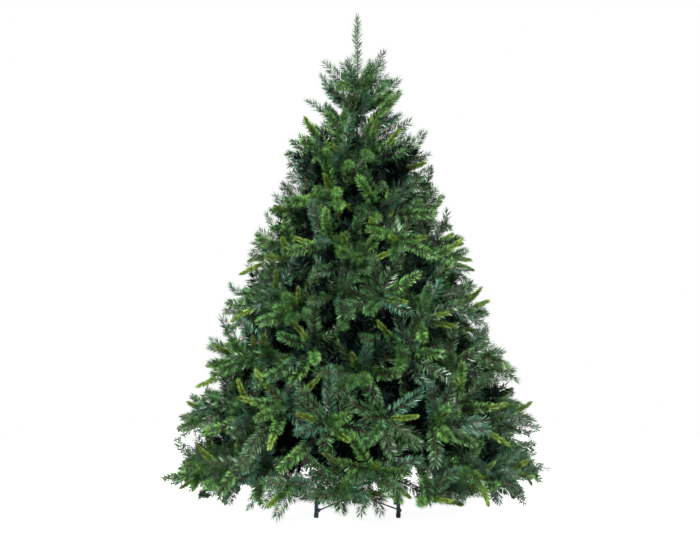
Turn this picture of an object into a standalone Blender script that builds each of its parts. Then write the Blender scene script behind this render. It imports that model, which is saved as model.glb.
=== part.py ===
"""An artificial Christmas tree on a folding steel stand.

Metres, +Z up. The origin is on the floor, under the axis of the pole. The crown is a straight
cone of seven tiers of boughs and a top. Each bough's foliage is one mass: a stem, a dense heart
and blades of needles that reach the crown's surface, all kept inside the mass's own share of it.
"""

import math
import random

import bmesh
import bpy
from mathutils import Matrix, Vector
from mathutils.bvhtree import BVHTree

# Whole tree
TREE_HEIGHT = 2.10
CROWN_REACH = 0.80
CROWN_REACH_HEIGHT = 0.17
CROWN_TAPER = 0.384
UNDERSIDE_TAPER = 1.0
FIT_GAP = 0.0003
SHARP_ANGLE = math.radians(50)
SEED = 41

# Tiers of boughs, from the lowest up
BOUGHS_IN_TIER = (6, 6, 5, 5, 4, 3, 3)
FIRST_BOUGH_DEG = (-90, -60, -90, -54, -90, -90, -30)
TIERS_WITH_BARE_BOUGHS = 2
LOWEST_BRACKET = 0.36
BRACKET_STEP = 0.17
TIP_STEP = 0.25
TIP_STEP_LOSS = 0.005
LOWEST_TIP_HEIGHT = 0.17
TOP_BRACKET = 1.50
WAVE_HEIGHT = 0.050
WAVES_ROUND = 8
WAVE_SHIFT = 2.2

# Dense heart of a mass: rings of corners round its stem, as (place along it, share of its room)
HEART_SIDES = (8, 8, 8, 8, 7, 7, 6)
HEART_RINGS = ((0.88, 0.56), (0.60, 0.76), (0.22, 0.66))
HEART_RAGGED = 0.84
HEART_END = 0.80
HEART_SETBACK = 0.022

# Blades of needles: rings of them round the heart, as (reach, share of the crown's radius)
TOOTHED = ((0.36, 1.0), (0.44, 0.62), (0.80, 0.95))
PLAIN = ((0.60, 1.0),)
BLADE_RINGS = ((0.42, 1.02, TOOTHED), (0.96, 1.0, TOOTHED), (0.96, 0.70, PLAIN))
RIDGE_ALONG = 0.36
RIDGE_HEIGHT = 0.40
BLADE_ROOM = 0.46
TRIM_STEP = 0.93
SMALLEST_TRIM = 0.40
TURN_BUNCHING = 0.25
BLADE_SPREAD_TOP = 0.036
BLADE_SPREAD_WIDEST = 0.068
NEEDLE_TRIMS = (1.0, 0.85, 0.7, 0.55, 0.4, 0.25)

# Branchlets on twigs of their own, at the top of the tree
TWIG_RADIUS = 0.004
SPRAY_LENGTH = 0.15
BLADE_ROLL_DEG = (25, 65)

# Room that a mass keeps to its neighbours, the pole and the floor
SPACE_GAP = 0.005
POLE_CLEARANCE = 0.045
UNDERSIDE_AT_POLE = 0.30
UNDERSIDE_SLOPE = 0.5
UNDERSIDE_FLOOR = 0.100

# Stems and bare boughs
BOUGH_RADIUS = 0.009
BOUGH_TIP_RADIUS = 0.007
STEM_TIP_RADIUS = 0.004
BARE_BOUGH_END = 0.27
STEM_END_SHARE = 0.74

# Top of the tree
TOP_STEM_RADIUS = 0.008
TOP_WHORLS = (
    (1.540, 6, 0.235, 1.650),
    (1.600, 5, 0.205, 1.735),
    (1.675, 5, 0.175, 1.815),
    (1.765, 5, 0.140, 1.900),
)
LEADER_FOOT = 1.80
LEADER_SPREAD = 0.021
LEADER_LENGTH = 0.24

# Pole, in three sections that stand one in the other
POLE_FOOT = 0.0403
POLE_SECTIONS = ((0.0160, 0.610), (0.0140, 1.120), (0.0120, TOP_BRACKET))
SLEEVE_LENGTH = 0.030
SLEEVE_WALL = 0.002
BRACKET_RADIUS = 0.034
BRACKET_HEIGHT = 0.022
POLE_SIDES = 10
RIVET_SIDES = 6
EYE_SIDES = 8

# Stand
LEG_COUNT = 4
FIRST_LEG_DEG = 45
FOOT_DISTANCE = 0.238
LEG_RADIUS = 0.008
LEG_BEND_START = 0.045
LEG_BEND_RADIUS = 0.090
LEG_PIVOT = (0.046, 0.245)
BRACE_PIVOT = (0.042, 0.062)
BRACE_FOOT_HEIGHT = 0.030
BRACE_RADIUS = 0.003
EYE_RADIUS = 0.0085
TONGUE_THICKNESS = 0.0044
BRACE_EYE_THICKNESS = 0.0030
RIVET_RADIUS = 0.0025
RIVET_HEAD_RADIUS = 0.0048
RIVET_HEAD_HEIGHT = 0.0016
EAR_THICKNESS = 0.0025
EAR_HEIGHT = 0.020
EAR_REACH = 0.0055
CAP_RADIUS = 0.0105
CAP_HEIGHT = 0.018
CAP_FLOOR = 0.003
CAP_SIDES = 10
HUB_WALL = 0.0035
HUB_FOOT = 0.034
HUB_TOP = 0.310
COLLAR_RADIUS = 0.027
COLLAR_HEIGHT = 0.024
SCREW_HEIGHT = 0.287
SCREW_RADIUS = 0.0035
SCREW_HEAD_RADIUS = 0.011
SCREW_REACH = 0.050


def clear_scene():
    for thing in list(bpy.data.objects):
        bpy.data.objects.remove(thing)


def make_material(name, colour, roughness, metallic):
    material = bpy.data.materials.new(name)
    material.use_nodes = True
    shader = material.node_tree.nodes["Principled BSDF"]
    shader.inputs["Base Color"].default_value = (*colour, 1)
    shader.inputs["Roughness"].default_value = roughness
    shader.inputs["Metallic"].default_value = metallic
    material.diffuse_color = (*colour, 1)
    return material


def new_object(name, mesh, material=None):
    thing = bpy.data.objects.new(name, mesh)
    bpy.context.scene.collection.objects.link(thing)
    if material:
        thing.data.materials.clear()
        thing.data.materials.append(material)
    return thing


def finish_bmesh(name, work):
    """Turns a bmesh into a mesh whose faces point outwards."""
    bmesh.ops.recalc_face_normals(work, faces=work.faces)
    mesh = bpy.data.meshes.new(name)
    work.to_mesh(mesh)
    work.free()
    return mesh


def evaluated_mesh(thing):
    bpy.context.view_layer.update()
    graph = bpy.context.evaluated_depsgraph_get()
    return bpy.data.meshes.new_from_object(thing.evaluated_get(graph))


def joined(name, first, others, material, cutters=()):
    """One solid from a first object and others, less the cutters. The originals are removed."""
    for operation, parts in (("UNION", others), ("DIFFERENCE", cutters)):
        if not parts:
            continue
        group = bpy.data.collections.new(name + "_" + operation.lower())
        bpy.context.scene.collection.children.link(group)
        for part in parts:
            group.objects.link(part)
        boolean = first.modifiers.new(operation, "BOOLEAN")
        boolean.operation = operation
        boolean.operand_type = "COLLECTION"
        boolean.collection = group
        boolean.solver = "EXACT"
    solid = new_object(name, evaluated_mesh(first), material)
    for part in [first, *others, *cutters]:
        bpy.data.objects.remove(part)
    for group in [c for c in bpy.data.collections if not c.objects]:
        bpy.data.collections.remove(group)
    return solid


def lathe(name, profile, sides):
    """A turned solid. The profile is (radius, height) pairs that start and end on the axis."""
    work = bmesh.new()
    ring = [work.verts.new((radius, 0, height)) for radius, height in profile]
    edges = [work.edges.new(pair) for pair in zip(ring, ring[1:])]
    bmesh.ops.spin(
        work,
        geom=ring + edges,
        cent=(0, 0, 0),
        axis=(0, 0, 1),
        angle=math.tau,
        steps=sides,
        use_merge=True,
    )
    bmesh.ops.remove_doubles(work, verts=work.verts, dist=1e-6)
    return finish_bmesh(name, work)


def cylinder(name, start, end, radius, sides, end_radius=None):
    """A round bar from one point to another, tapered if it has an end radius."""
    start, end = Vector(start), Vector(end)
    along = end - start
    turn = along.to_track_quat("Z", "Y").to_matrix().to_4x4()
    work = bmesh.new()
    bmesh.ops.create_cone(
        work,
        cap_ends=True,
        segments=sides,
        radius1=radius,
        radius2=radius if end_radius is None else end_radius,
        depth=along.length,
        matrix=Matrix.Translation((start + end) / 2) @ turn,
    )
    return new_object(name, finish_bmesh(name, work))


def box(name, low, high):
    """A block between two corners."""
    low, high = Vector(low), Vector(high)
    work = bmesh.new()
    size = Matrix.Diagonal((*(high - low), 1))
    bmesh.ops.create_cube(work, size=1, matrix=Matrix.Translation((low + high) / 2) @ size)
    return new_object(name, finish_bmesh(name, work))


def tube(name, points, radius, bevel_resolution):
    """A round tube along points, made from a curve with a bevel and filled caps."""
    curve = bpy.data.curves.new(name, "CURVE")
    curve.dimensions = "3D"
    curve.bevel_depth = radius
    curve.bevel_resolution = bevel_resolution
    curve.use_fill_caps = True
    spline = curve.splines.new("POLY")
    spline.points.add(len(points) - 1)
    for slot, point in zip(spline.points, points):
        slot.co = (*point, 1)
    guide = new_object(name + "_curve", curve)
    mesh = evaluated_mesh(guide)
    bpy.data.objects.remove(guide)
    work = bmesh.new()
    work.from_mesh(mesh)
    bmesh.ops.remove_doubles(work, verts=work.verts, dist=1e-6)
    return new_object(name, finish_bmesh(name, work))


def place(thing, turn_deg):
    """Turns a piece that was made along +X about the pole's axis."""
    thing.data.transform(Matrix.Rotation(math.radians(turn_deg), 4, "Z"))
    return thing


def rounded(thing):
    """Shades a round piece smooth, and keeps the edges of its ends sharp."""
    thing.data.shade_smooth()
    thing.data.set_sharp_from_angle(angle=SHARP_ANGLE)
    return thing


def crown_radius(height):
    """The crown's radius at a height: a straight cone, drawn in again under its widest place."""
    over = height - CROWN_REACH_HEIGHT
    return CROWN_REACH - (CROWN_TAPER * over if over > 0 else -UNDERSIDE_TAPER * over)


def bracket_height(tier):
    return LOWEST_BRACKET + BRACKET_STEP * tier


def tip_height(tier):
    return LOWEST_TIP_HEIGHT + TIP_STEP * tier - TIP_STEP_LOSS * tier * (tier - 1)


def boundary_height(tier, azimuth, distance):
    """Height of the wavy cone that parts a tier from the one under it, at a place in plan."""
    at_pole = bracket_height(tier - 0.5)
    at_surface = tip_height(tier - 0.5) + WAVE_HEIGHT * math.sin(WAVES_ROUND * azimuth + WAVE_SHIFT * tier)
    return at_pole + (at_surface - at_pole) * distance / crown_radius(tip_height(tier - 0.5))


def by_reach(top, widest, distance):
    """A size that grows with the crown's radius, from the top of the tree to its widest place."""
    return top + (widest - top) * min(distance / CROWN_REACH, 1)


class Share:
    """The share of the crown that one mass keeps to: a sector between two cones."""

    def __init__(self, tier, centre, sector):
        self.tier = tier
        self.centre = centre
        self.sector = sector

    def low(self, azimuth, distance):
        if self.tier == 0:
            return max(UNDERSIDE_FLOOR, UNDERSIDE_AT_POLE - UNDERSIDE_SLOPE * distance)
        return boundary_height(self.tier, azimuth, distance) + SPACE_GAP

    def high(self, azimuth, distance):
        if self.tier == len(BOUGHS_IN_TIER):
            return TREE_HEIGHT
        return boundary_height(self.tier + 1, azimuth, distance) - SPACE_GAP

    def place(self, distance, across, rise):
        """A point at a distance from the axis, from edge to edge and from low to high: -1 to 1."""
        azimuth = self.centre + self.sector * 0.5 * across
        low, high = self.low(azimuth, distance), self.high(azimuth, distance)
        return at(azimuth, distance, low + (high - low) * (0.5 + 0.5 * rise))

    def holds(self, point):
        distance = math.hypot(point.x, point.y)
        if distance < POLE_CLEARANCE:
            return self.tier == len(BOUGHS_IN_TIER) and point.z > TOP_BRACKET + SPACE_GAP
        azimuth = math.atan2(point.y, point.x)
        if not self.low(azimuth, distance) <= point.z <= self.high(azimuth, distance):
            return False
        turn = math.remainder(azimuth - self.centre, math.tau)
        if self.sector >= math.tau:
            return True
        return distance * math.sin(self.sector / 2 - abs(turn)) >= SPACE_GAP


def at(azimuth, distance, height):
    return Vector((distance * math.cos(azimuth), distance * math.sin(azimuth), height))


def held(share, on_axis, offset):
    """A needle's tip, drawn in towards its twig as far as its share of the crown asks for."""
    for part in NEEDLE_TRIMS:
        if share.holds(on_axis + offset * part):
            break
    return on_axis + offset * part


def grow_blade(work, share, face, tip, spread, ridge, teeth=TOOTHED):
    """A toothed blade of needles, grown out of the corners of a face of the work."""
    left, right, *behind = face
    foot = sum((corner.co for corner in face), Vector()) / len(face)
    axis = tip - foot
    side = (right.co - left.co).normalized()
    side = (side - side.project(axis)).normalized()
    up = axis.normalized().cross(side)
    if up.dot(behind[0].co - left.co) > 0:
        up = -up
    edges = []
    for hand, start in ((-side, left), (side, right)):
        points = [held(share, foot + axis * along, hand * spread * out) for along, out in teeth]
        edges.append([start, *(work.verts.new(point) for point in points)])
    outline = [*edges[0], work.verts.new(tip), *edges[1][::-1]]
    for lift, closing in ((up, [right, left]), (-up, [right, *behind, left])):
        crest = work.verts.new(held(share, foot + axis * RIDGE_ALONG, lift * ridge))
        for pair in [*zip(outline, outline[1:]), *zip(closing, closing[1:])]:
            work.faces.new((crest, *pair))


def spray(share, root, tip, needles, spread, roll):
    """A branchlet: a tapering twig that ends in a toothed blade of needles."""
    axis = (tip - root).normalized()
    level = Vector((-axis.y, axis.x, 0)) if axis.z < 0.99 else Vector((1, 0, 0))
    side = Matrix.Rotation(roll, 3, axis) @ level.normalized()
    up = axis.cross(side)
    foot = tip - axis * needles
    work = bmesh.new()
    corners = []
    for turn in (math.pi, 0, -math.pi / 2):
        offset = (side * math.cos(turn) + up * math.sin(turn)) * TWIG_RADIUS
        corners.append([work.verts.new(root + offset), work.verts.new(foot + offset)])
    for first, second in zip(corners, [*corners[1:], corners[0]]):
        work.faces.new((first[0], second[0], second[1], first[1]))
    work.faces.new([low for low, high in corners])
    left, right, below = (high for low, high in corners)
    grow_blade(work, share, (left, right, below), tip, spread, RIDGE_HEIGHT * spread)
    return new_object("branchlet", finish_bmesh("branchlet", work))


def even_turn(part):
    """A turn round a stem, bunched towards up and down, where a mass is widest."""
    return math.tau * part + TURN_BUNCHING * math.sin(2 * math.tau * part)


def blade_tip(share, tier, turn, reach, depth, rng):
    """Where a blade ends: spread over the face of its share, from edge to edge and corner to corner."""
    across, rise = math.cos(turn), math.sin(turn)
    square = max(abs(across), abs(rise)) ** 0.8
    across, rise = (part * reach / square + rng.uniform(-0.04, 0.04) for part in (across, rise))
    across, rise = (max(-0.97, min(0.97, part)) for part in (across, rise))
    distance = depth * crown_radius(tip_height(tier + 0.5 * rise)) * rng.uniform(0.96, 1.03)
    return share.place(distance, across, rise)


def heart_corners(share, tier, stem_start, rng):
    """Corners of the dense heart of a mass: the front, the back, and the rings between them."""
    back = max(stem_start + HEART_SETBACK, POLE_CLEARANCE + HEART_SETBACK)
    front = HEART_END * crown_radius(tip_height(tier))
    sides = HEART_SIDES[tier]
    places = [(1, 0, 0), (0, 0, 0)]
    for along, girth in HEART_RINGS:
        places += [(along, girth, even_turn(number / sides)) for number in range(sides)]
    corners = []
    for along, girth, turn in places:
        girth *= rng.uniform(HEART_RAGGED, 1)
        distance = back + (front - back) * along
        corners.append(share.place(distance, girth * math.cos(turn), girth * math.sin(turn)))
    return corners


def heart_faces(sides):
    """The heart's faces as corner numbers, in bands from the front: each has left and right first."""

    def ring(place, number):
        return 2 + place * sides + number % sides

    spokes = range(sides)
    last = len(HEART_RINGS) - 1
    bands = [[(ring(0, n), ring(0, n + 1), 0) for n in spokes]]
    for near in range(last):
        far = near + 1
        bands.append([(ring(near, n), ring(near, n + 1), ring(far, n + 1), ring(far, n)) for n in spokes])
    return bands, [(ring(last, n), ring(last, n + 1), 1) for n in spokes]


def mass_work(share, corners, blades, closing, trims):
    """The heart with its blades as a bmesh, and which blade each face belongs to."""
    work = bmesh.new()
    vertices = [work.verts.new(corner) for corner in corners]
    owners = []
    for number, (face, tip, spread, ridge, teeth) in enumerate(blades):
        base = [vertices[corner] for corner in face]
        if trims[number] < SMALLEST_TRIM:
            work.faces.new(base)
        else:
            grow_blade(work, share, base, tip, spread * trims[number], ridge * trims[number], teeth)
        owners += [number] * (len(work.faces) - len(owners))
    for face in closing:
        work.faces.new([vertices[corner] for corner in face])
    owners += [None] * len(closing)
    return work, owners


def crossing_blades(work, owners):
    """The blades that cut into one another or into the heart."""
    work.faces.ensure_lookup_table()
    tree = BVHTree.FromBMesh(work, epsilon=0)
    found = set()
    for first, second in tree.overlap(tree):
        if first < second and not set(work.faces[first].verts) & set(work.faces[second].verts):
            found |= {owners[first], owners[second]}
    return found - {None}


def needle_mass(share, tier, stem_start, rng):
    """The dense heart of a mass, with a blade of needles on every face that looks outwards."""
    sides = HEART_SIDES[tier]
    corners = heart_corners(share, tier, stem_start, rng)
    bands, closing = heart_faces(sides)
    turns = [even_turn((number + 0.5) / sides) for number in range(sides)]
    feet, tips = [], []
    for band, (reach, depth, _) in zip(bands, BLADE_RINGS):
        feet.append([sum((corners[corner] for corner in face), Vector()) / len(face) for face in band])
        tips.append([blade_tip(share, tier, turn, reach, depth, rng) for turn in turns])

    def room(band, number, others):
        here = feet[band][number].lerp(tips[band][number], RIDGE_ALONG)
        return BLADE_ROOM * min((here - feet[b][n].lerp(tips[b][n], RIDGE_ALONG)).length for b, n in others)

    blades = []
    for band, (_, _, teeth) in enumerate(BLADE_RINGS):
        for number, (face, tip) in enumerate(zip(bands[band], tips[band])):
            wanted = by_reach(BLADE_SPREAD_TOP, BLADE_SPREAD_WIDEST, math.hypot(tip.x, tip.y))
            beside = [(band, number - 1), (band, (number + 1) % sides)]
            above = [(other, number) for other in (band - 1, band + 1) if 0 <= other < len(bands)]
            spread = min(wanted, room(band, number, beside))
            ridge = min(RIDGE_HEIGHT * wanted, room(band, number, above))
            blades.append((face, tip, spread, ridge, teeth))
    trims = [1.0] * len(blades)
    while True:
        work, owners = mass_work(share, corners, blades, closing, trims)
        crossing = crossing_blades(work, owners)
        if not crossing:
            return new_object("needles", finish_bmesh("needles", work))
        work.free()
        for number in crossing:
            trims[number] *= TRIM_STEP


def bracket_reach(azimuth):
    """How far a bracket ring, which has flat sides, reaches from the axis towards an azimuth."""
    return BRACKET_RADIUS * math.cos(math.remainder(azimuth, math.tau / POLE_SIDES))


def stem_slope(tier):
    """Rise of a tier's stems for each metre outwards."""
    return (tip_height(tier) - bracket_height(tier)) / crown_radius(tip_height(tier))


def bough_or_stem(name, tier, azimuth, start, end, radius, tip_radius, sides):
    """A tapering limb of a tier. One that starts at its bracket is cut square to the pole there."""
    slope = stem_slope(tier)
    lie = Matrix.Rotation(azimuth, 4, "Z")
    aslant = Vector((1, 0, slope)).normalized()
    work = bmesh.new()
    stations = [(start, radius), (end, tip_radius)]
    rings = []
    for order, (distance, thickness) in enumerate(stations):
        square = order == 0 and start < POLE_CLEARANCE
        along = Vector((1, 0, 0)) if square else aslant
        turn = along.to_track_quat("X", "Z").to_matrix()
        centre = Vector((distance, 0, bracket_height(tier) + slope * distance))
        ring = []
        for corner in range(sides):
            angle = math.tau * corner / sides
            offset = turn @ Vector((0, math.cos(angle), math.sin(angle))) * thickness
            ring.append(work.verts.new(lie @ (centre + offset)))
        rings.append(ring)
    work.faces.new(rings[0])
    work.faces.new(rings[-1])
    bmesh.ops.bridge_loops(work, edges=[e for e in work.edges if len(e.link_faces) == 1])
    return new_object(name, finish_bmesh(name, work))


def build_mass(name, tier, azimuth, stem_start, materials):
    """One bough's foliage, in the share of the crown that belongs to it."""
    rng = random.Random(f"{SEED} {name}")
    sector = math.tau / BOUGHS_IN_TIER[tier]
    share = Share(tier, azimuth, sector)
    stem_end = STEM_END_SHARE * crown_radius(tip_height(tier))
    stem = bough_or_stem("stem", tier, azimuth, stem_start, stem_end, BOUGH_TIP_RADIUS, STEM_TIP_RADIUS, 4)
    needles = needle_mass(share, tier, stem_start, rng)
    return joined(name, stem, [needles], materials["foliage"])


def build_top(materials):
    """The top of the tree: a short stem with four whorls of branchlets and the leader."""
    rng = random.Random(f"{SEED} top")
    share = Share(len(BOUGHS_IN_TIER), 0, math.tau)
    foot = TOP_BRACKET + FIT_GAP
    stem = cylinder("stem", (0, 0, foot), (0, 0, LEADER_FOOT + 0.06), TOP_STEM_RADIUS, 6, STEM_TIP_RADIUS)
    parts = []
    for whorl, (root_height, count, reach, height) in enumerate(TOP_WHORLS):
        for spoke in range(count):
            azimuth = math.tau * (spoke + 0.5 * whorl + rng.uniform(-0.12, 0.12)) / count
            tip = at(azimuth, reach * rng.uniform(0.93, 1.0), height + rng.uniform(-0.02, 0.02))
            root = at(azimuth, 0.003, root_height + rng.uniform(-0.012, 0.012))
            spread = by_reach(BLADE_SPREAD_TOP, BLADE_SPREAD_WIDEST, reach)
            roll = rng.choice((-1, 1)) * math.radians(rng.uniform(*BLADE_ROLL_DEG))
            parts.append(spray(share, root, tip, SPRAY_LENGTH, spread, roll))
    foot, tip = Vector((0, 0, LEADER_FOOT)), Vector((0, 0, TREE_HEIGHT))
    parts.append(spray(share, foot, tip, LEADER_LENGTH, LEADER_SPREAD, 0.3))
    return joined("foliage_top", stem, parts, materials["foliage"])


def build_pole(materials):
    """The steel pole: three sections with a sleeve at each joint, and a bracket ring for each tier."""
    steps = []
    foot = POLE_FOOT
    for radius, top in POLE_SECTIONS:
        steps.append((foot, top, radius))
        if top < TOP_BRACKET:
            steps.append((top, top + SLEEVE_LENGTH, radius + SLEEVE_WALL))
            foot = top + SLEEVE_LENGTH
    rings = [bracket_height(tier) for tier in range(len(BOUGHS_IN_TIER))]
    profile = [(0, POLE_FOOT)]
    for low, high, radius in steps:
        profile.append((radius, low))
        for ring in rings:
            if low < ring < high:
                bottom, top = ring - BRACKET_HEIGHT / 2, ring + BRACKET_HEIGHT / 2
                profile += [(radius, bottom), (BRACKET_RADIUS, bottom), (BRACKET_RADIUS, top), (radius, top)]
        profile.append((radius, high))
    profile.append((0, TOP_BRACKET))
    return rounded(new_object("trunk_pole", lathe("trunk_pole", profile, POLE_SIDES), materials["pole"]))


def lug(low_corner_height, pivot):
    """Two ears on the hub with a rivet across them, along +X from the pole."""
    distance, height = pivot
    slot = TONGUE_THICKNESS / 2 + FIT_GAP
    outer = slot + EAR_THICKNESS
    parts = []
    for side in (-1, 1):
        near, far = sorted((side * slot, side * outer))
        start = (HUB_WALL + POLE_SECTIONS[0][0] + 0.001, near, low_corner_height)
        parts.append(box("ear", start, (distance + EAR_REACH, far, low_corner_height + EAR_HEIGHT)))
    ends = [(distance, side * (outer + RIVET_HEAD_HEIGHT), height) for side in (-1, 1)]
    parts.append(cylinder("rivet", *ends, RIVET_RADIUS, RIVET_SIDES))
    return parts


def build_hub(materials):
    """The stand's socket: a tube with a floor, two collars, and lugs for the legs and braces."""
    inner = POLE_SECTIONS[0][0] + FIT_GAP
    outer = inner + HUB_WALL
    floor = POLE_FOOT - FIT_GAP
    profile = [(0, HUB_FOOT), (outer, HUB_FOOT)]
    for height in (BRACE_PIVOT[1], LEG_PIVOT[1]):
        bottom, top = height - COLLAR_HEIGHT / 2, height + COLLAR_HEIGHT / 2
        profile += [(outer, bottom), (COLLAR_RADIUS, bottom), (COLLAR_RADIUS, top), (outer, top)]
    profile += [(outer, HUB_TOP), (inner, HUB_TOP), (inner, floor), (0, floor)]
    body = new_object("hub_body", lathe("hub_body", profile, POLE_SIDES))
    parts = []
    for leg in range(LEG_COUNT):
        turn = FIRST_LEG_DEG + 360 / LEG_COUNT * leg
        for pivot in (LEG_PIVOT, BRACE_PIVOT):
            parts += [place(part, turn) for part in lug(pivot[1] - EAR_HEIGHT / 2, pivot)]
    hole_ends = [(inner - 0.004, 0, SCREW_HEIGHT), (outer + 0.004, 0, SCREW_HEIGHT)]
    hole = cylinder("screw_hole", *hole_ends, SCREW_RADIUS + FIT_GAP, 8)
    return rounded(joined("stand_hub", body, parts, materials["stand"], [hole]))


def leg_path():
    """Points of a leg's centre line in its own plane: upright foot, bend, slant up to the hub."""
    across = FOOT_DISTANCE - LEG_BEND_RADIUS - LEG_PIVOT[0]
    rise = LEG_PIVOT[1] - LEG_BEND_START
    bend = math.atan2(across, rise) + math.asin(LEG_BEND_RADIUS / math.hypot(across, rise))
    points = [Vector((FOOT_DISTANCE, 0, CAP_FLOOR + FIT_GAP))]
    steps = 4
    for step in range(steps + 1):
        angle = bend * step / steps
        outwards = FOOT_DISTANCE - LEG_BEND_RADIUS + LEG_BEND_RADIUS * math.cos(angle)
        points.append(Vector((outwards, 0, LEG_BEND_START + LEG_BEND_RADIUS * math.sin(angle))))
    pivot = Vector((LEG_PIVOT[0], 0, LEG_PIVOT[1]))
    slant = (pivot - points[-1]).normalized()
    points.append(pivot - slant * 2.4 * EYE_RADIUS)
    return points, pivot, slant


def plate_along(name, start, end, half_width, thickness):
    """A flat strip from one point to another in the XZ plane, its faces square to Y."""
    along = (end - start).normalized()
    work = bmesh.new()
    size = Matrix.Diagonal(((end - start).length, thickness, 2 * half_width, 1))
    turn = along.to_track_quat("X", "Z").to_matrix().to_4x4()
    bmesh.ops.create_cube(work, size=1, matrix=Matrix.Translation((start + end) / 2) @ turn @ size)
    return new_object(name, finish_bmesh(name, work))


def build_leg(number, materials):
    """A steel tube leg with a flattened tongue at the hub and a rivet for its brace at the foot."""
    points, pivot, slant = leg_path()
    half = TONGUE_THICKNESS / 2
    shaft = tube("leg_tube", points, LEG_RADIUS, 2)
    parts = [plate_along("tongue", points[-1] - slant * 0.012, pivot, 0.0072, TONGUE_THICKNESS)]
    eye_ends = [pivot - Vector((0, half, 0)), pivot + Vector((0, half, 0))]
    parts.append(cylinder("tongue_eye", *eye_ends, EYE_RADIUS, EYE_SIDES))
    foot = Vector((FOOT_DISTANCE, 0, BRACE_FOOT_HEIGHT))
    seat = LEG_RADIUS + FIT_GAP + BRACE_EYE_THICKNESS + FIT_GAP
    parts.append(cylinder("brace_rivet", foot, foot + Vector((0, seat + 0.001, 0)), RIVET_RADIUS, RIVET_SIDES))
    head_ends = [foot + Vector((0, seat, 0)), foot + Vector((0, seat + RIVET_HEAD_HEIGHT, 0))]
    parts.append(cylinder("brace_rivet_head", *head_ends, RIVET_HEAD_RADIUS, RIVET_SIDES))
    across = Vector((0, 0.02, 0))
    hole = cylinder("tongue_hole", pivot - across, pivot + across, RIVET_RADIUS + FIT_GAP, RIVET_SIDES)
    leg = joined(f"leg_{number}", shaft, parts, materials["stand"], [hole])
    return place(rounded(leg), FIRST_LEG_DEG + 360 / LEG_COUNT * (number - 1))


def build_brace(number, materials):
    """A thin steel rod from the hub's lower collar to the leg's foot, with an eye at each end."""
    inner = Vector((BRACE_PIVOT[0], 0, BRACE_PIVOT[1]))
    offset = LEG_RADIUS + FIT_GAP + BRACE_EYE_THICKNESS / 2
    outer = Vector((FOOT_DISTANCE, offset, BRACE_FOOT_HEIGHT))
    rod = cylinder("rod", inner.lerp(outer, 0.038), inner.lerp(outer, 0.965), BRACE_RADIUS, 6)
    parts, holes = [], []
    for centre, thickness in ((inner, TONGUE_THICKNESS), (outer, BRACE_EYE_THICKNESS)):
        half = Vector((0, thickness / 2, 0))
        hole_radius = RIVET_RADIUS + FIT_GAP
        parts.append(cylinder("eye", centre - half, centre + half, EYE_RADIUS, EYE_SIDES))
        holes.append(cylinder("eye_hole", centre - 3 * half, centre + 3 * half, hole_radius, RIVET_SIDES))
    brace = joined(f"brace_{number}", rod, parts, materials["stand"], holes)
    return place(rounded(brace), FIRST_LEG_DEG + 360 / LEG_COUNT * (number - 1))


def build_foot_cap(number, materials):
    """A plastic cup on the end of a leg, which the stand rests on."""
    inner = (LEG_RADIUS + FIT_GAP) / math.cos(math.pi / CAP_SIDES)
    edge = 0.0015
    profile = [
        (0, 0),
        (CAP_RADIUS - edge, 0),
        (CAP_RADIUS, edge),
        (CAP_RADIUS, CAP_HEIGHT),
        (inner, CAP_HEIGHT),
        (inner, CAP_FLOOR),
        (0, CAP_FLOOR),
    ]
    cap = new_object(f"foot_cap_{number}", lathe("foot_cap", profile, CAP_SIDES), materials["caps"])
    cap.data.transform(Matrix.Translation((FOOT_DISTANCE, 0, 0)))
    return place(rounded(cap), FIRST_LEG_DEG + 360 / LEG_COUNT * (number - 1))


def build_screw(materials):
    """The screw that clamps the pole in the hub: a shank with a flat round thumb grip."""
    start = POLE_SECTIONS[0][0] + FIT_GAP
    shank = cylinder("shank", (start, 0, SCREW_HEIGHT), (SCREW_REACH, 0, SCREW_HEIGHT), SCREW_RADIUS, 8)
    centre = Vector((SCREW_REACH + SCREW_HEAD_RADIUS * 0.8, 0, SCREW_HEIGHT))
    half = Vector((0, 0, 0.002))
    grip = cylinder("grip", centre - half, centre + half, SCREW_HEAD_RADIUS, 12)
    return rounded(joined("clamp_screw", shank, [grip], materials["caps"]))


def build_tree():
    clear_scene()
    materials = {
        "foliage": make_material("foliage", (0.050, 0.095, 0.042), 0.6, 0),
        "pole": make_material("pole", (0.02, 0.05, 0.03), 0.45, 0),
        "bough": make_material("bough", (0.06, 0.045, 0.03), 0.7, 0),
        "stand": make_material("stand", (0.02, 0.05, 0.055), 0.35, 0.3),
        "caps": make_material("caps", (0.01, 0.012, 0.014), 0.5, 0),
    }
    build_pole(materials)
    build_hub(materials)
    build_screw(materials)
    for number in range(1, LEG_COUNT + 1):
        build_leg(number, materials)
        build_brace(number, materials)
        build_foot_cap(number, materials)
    for tier, count in enumerate(BOUGHS_IN_TIER):
        for spoke in range(count):
            azimuth = math.radians(FIRST_BOUGH_DEG[tier] + 360 / count * spoke)
            label = f"tier_{tier + 1}_{spoke + 1}"
            start = bracket_reach(azimuth) + FIT_GAP
            if tier < TIERS_WITH_BARE_BOUGHS:
                bough = bough_or_stem(
                    "bough_" + label, tier, azimuth, start, BARE_BOUGH_END, BOUGH_RADIUS, BOUGH_TIP_RADIUS, 6
                )
                rounded(bough).data.materials.append(materials["bough"])
                start = BARE_BOUGH_END + FIT_GAP
            build_mass("foliage_" + label, tier, azimuth, start, materials)
    build_top(materials)


build_tree()
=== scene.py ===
"""The looks of an artificial christmas tree: needle tips, wires, pole, stand and studio.

The tree's rule is the one of its solids: seven tiers of boughs on a steel pole, each with a share of
a straight cone, and a top of four whorls. Here each share is filled with wires that carry needle tips.
"""

import math
import random
from collections import namedtuple

import bpy
import numpy as np
from mathutils import Matrix, Vector


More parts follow.
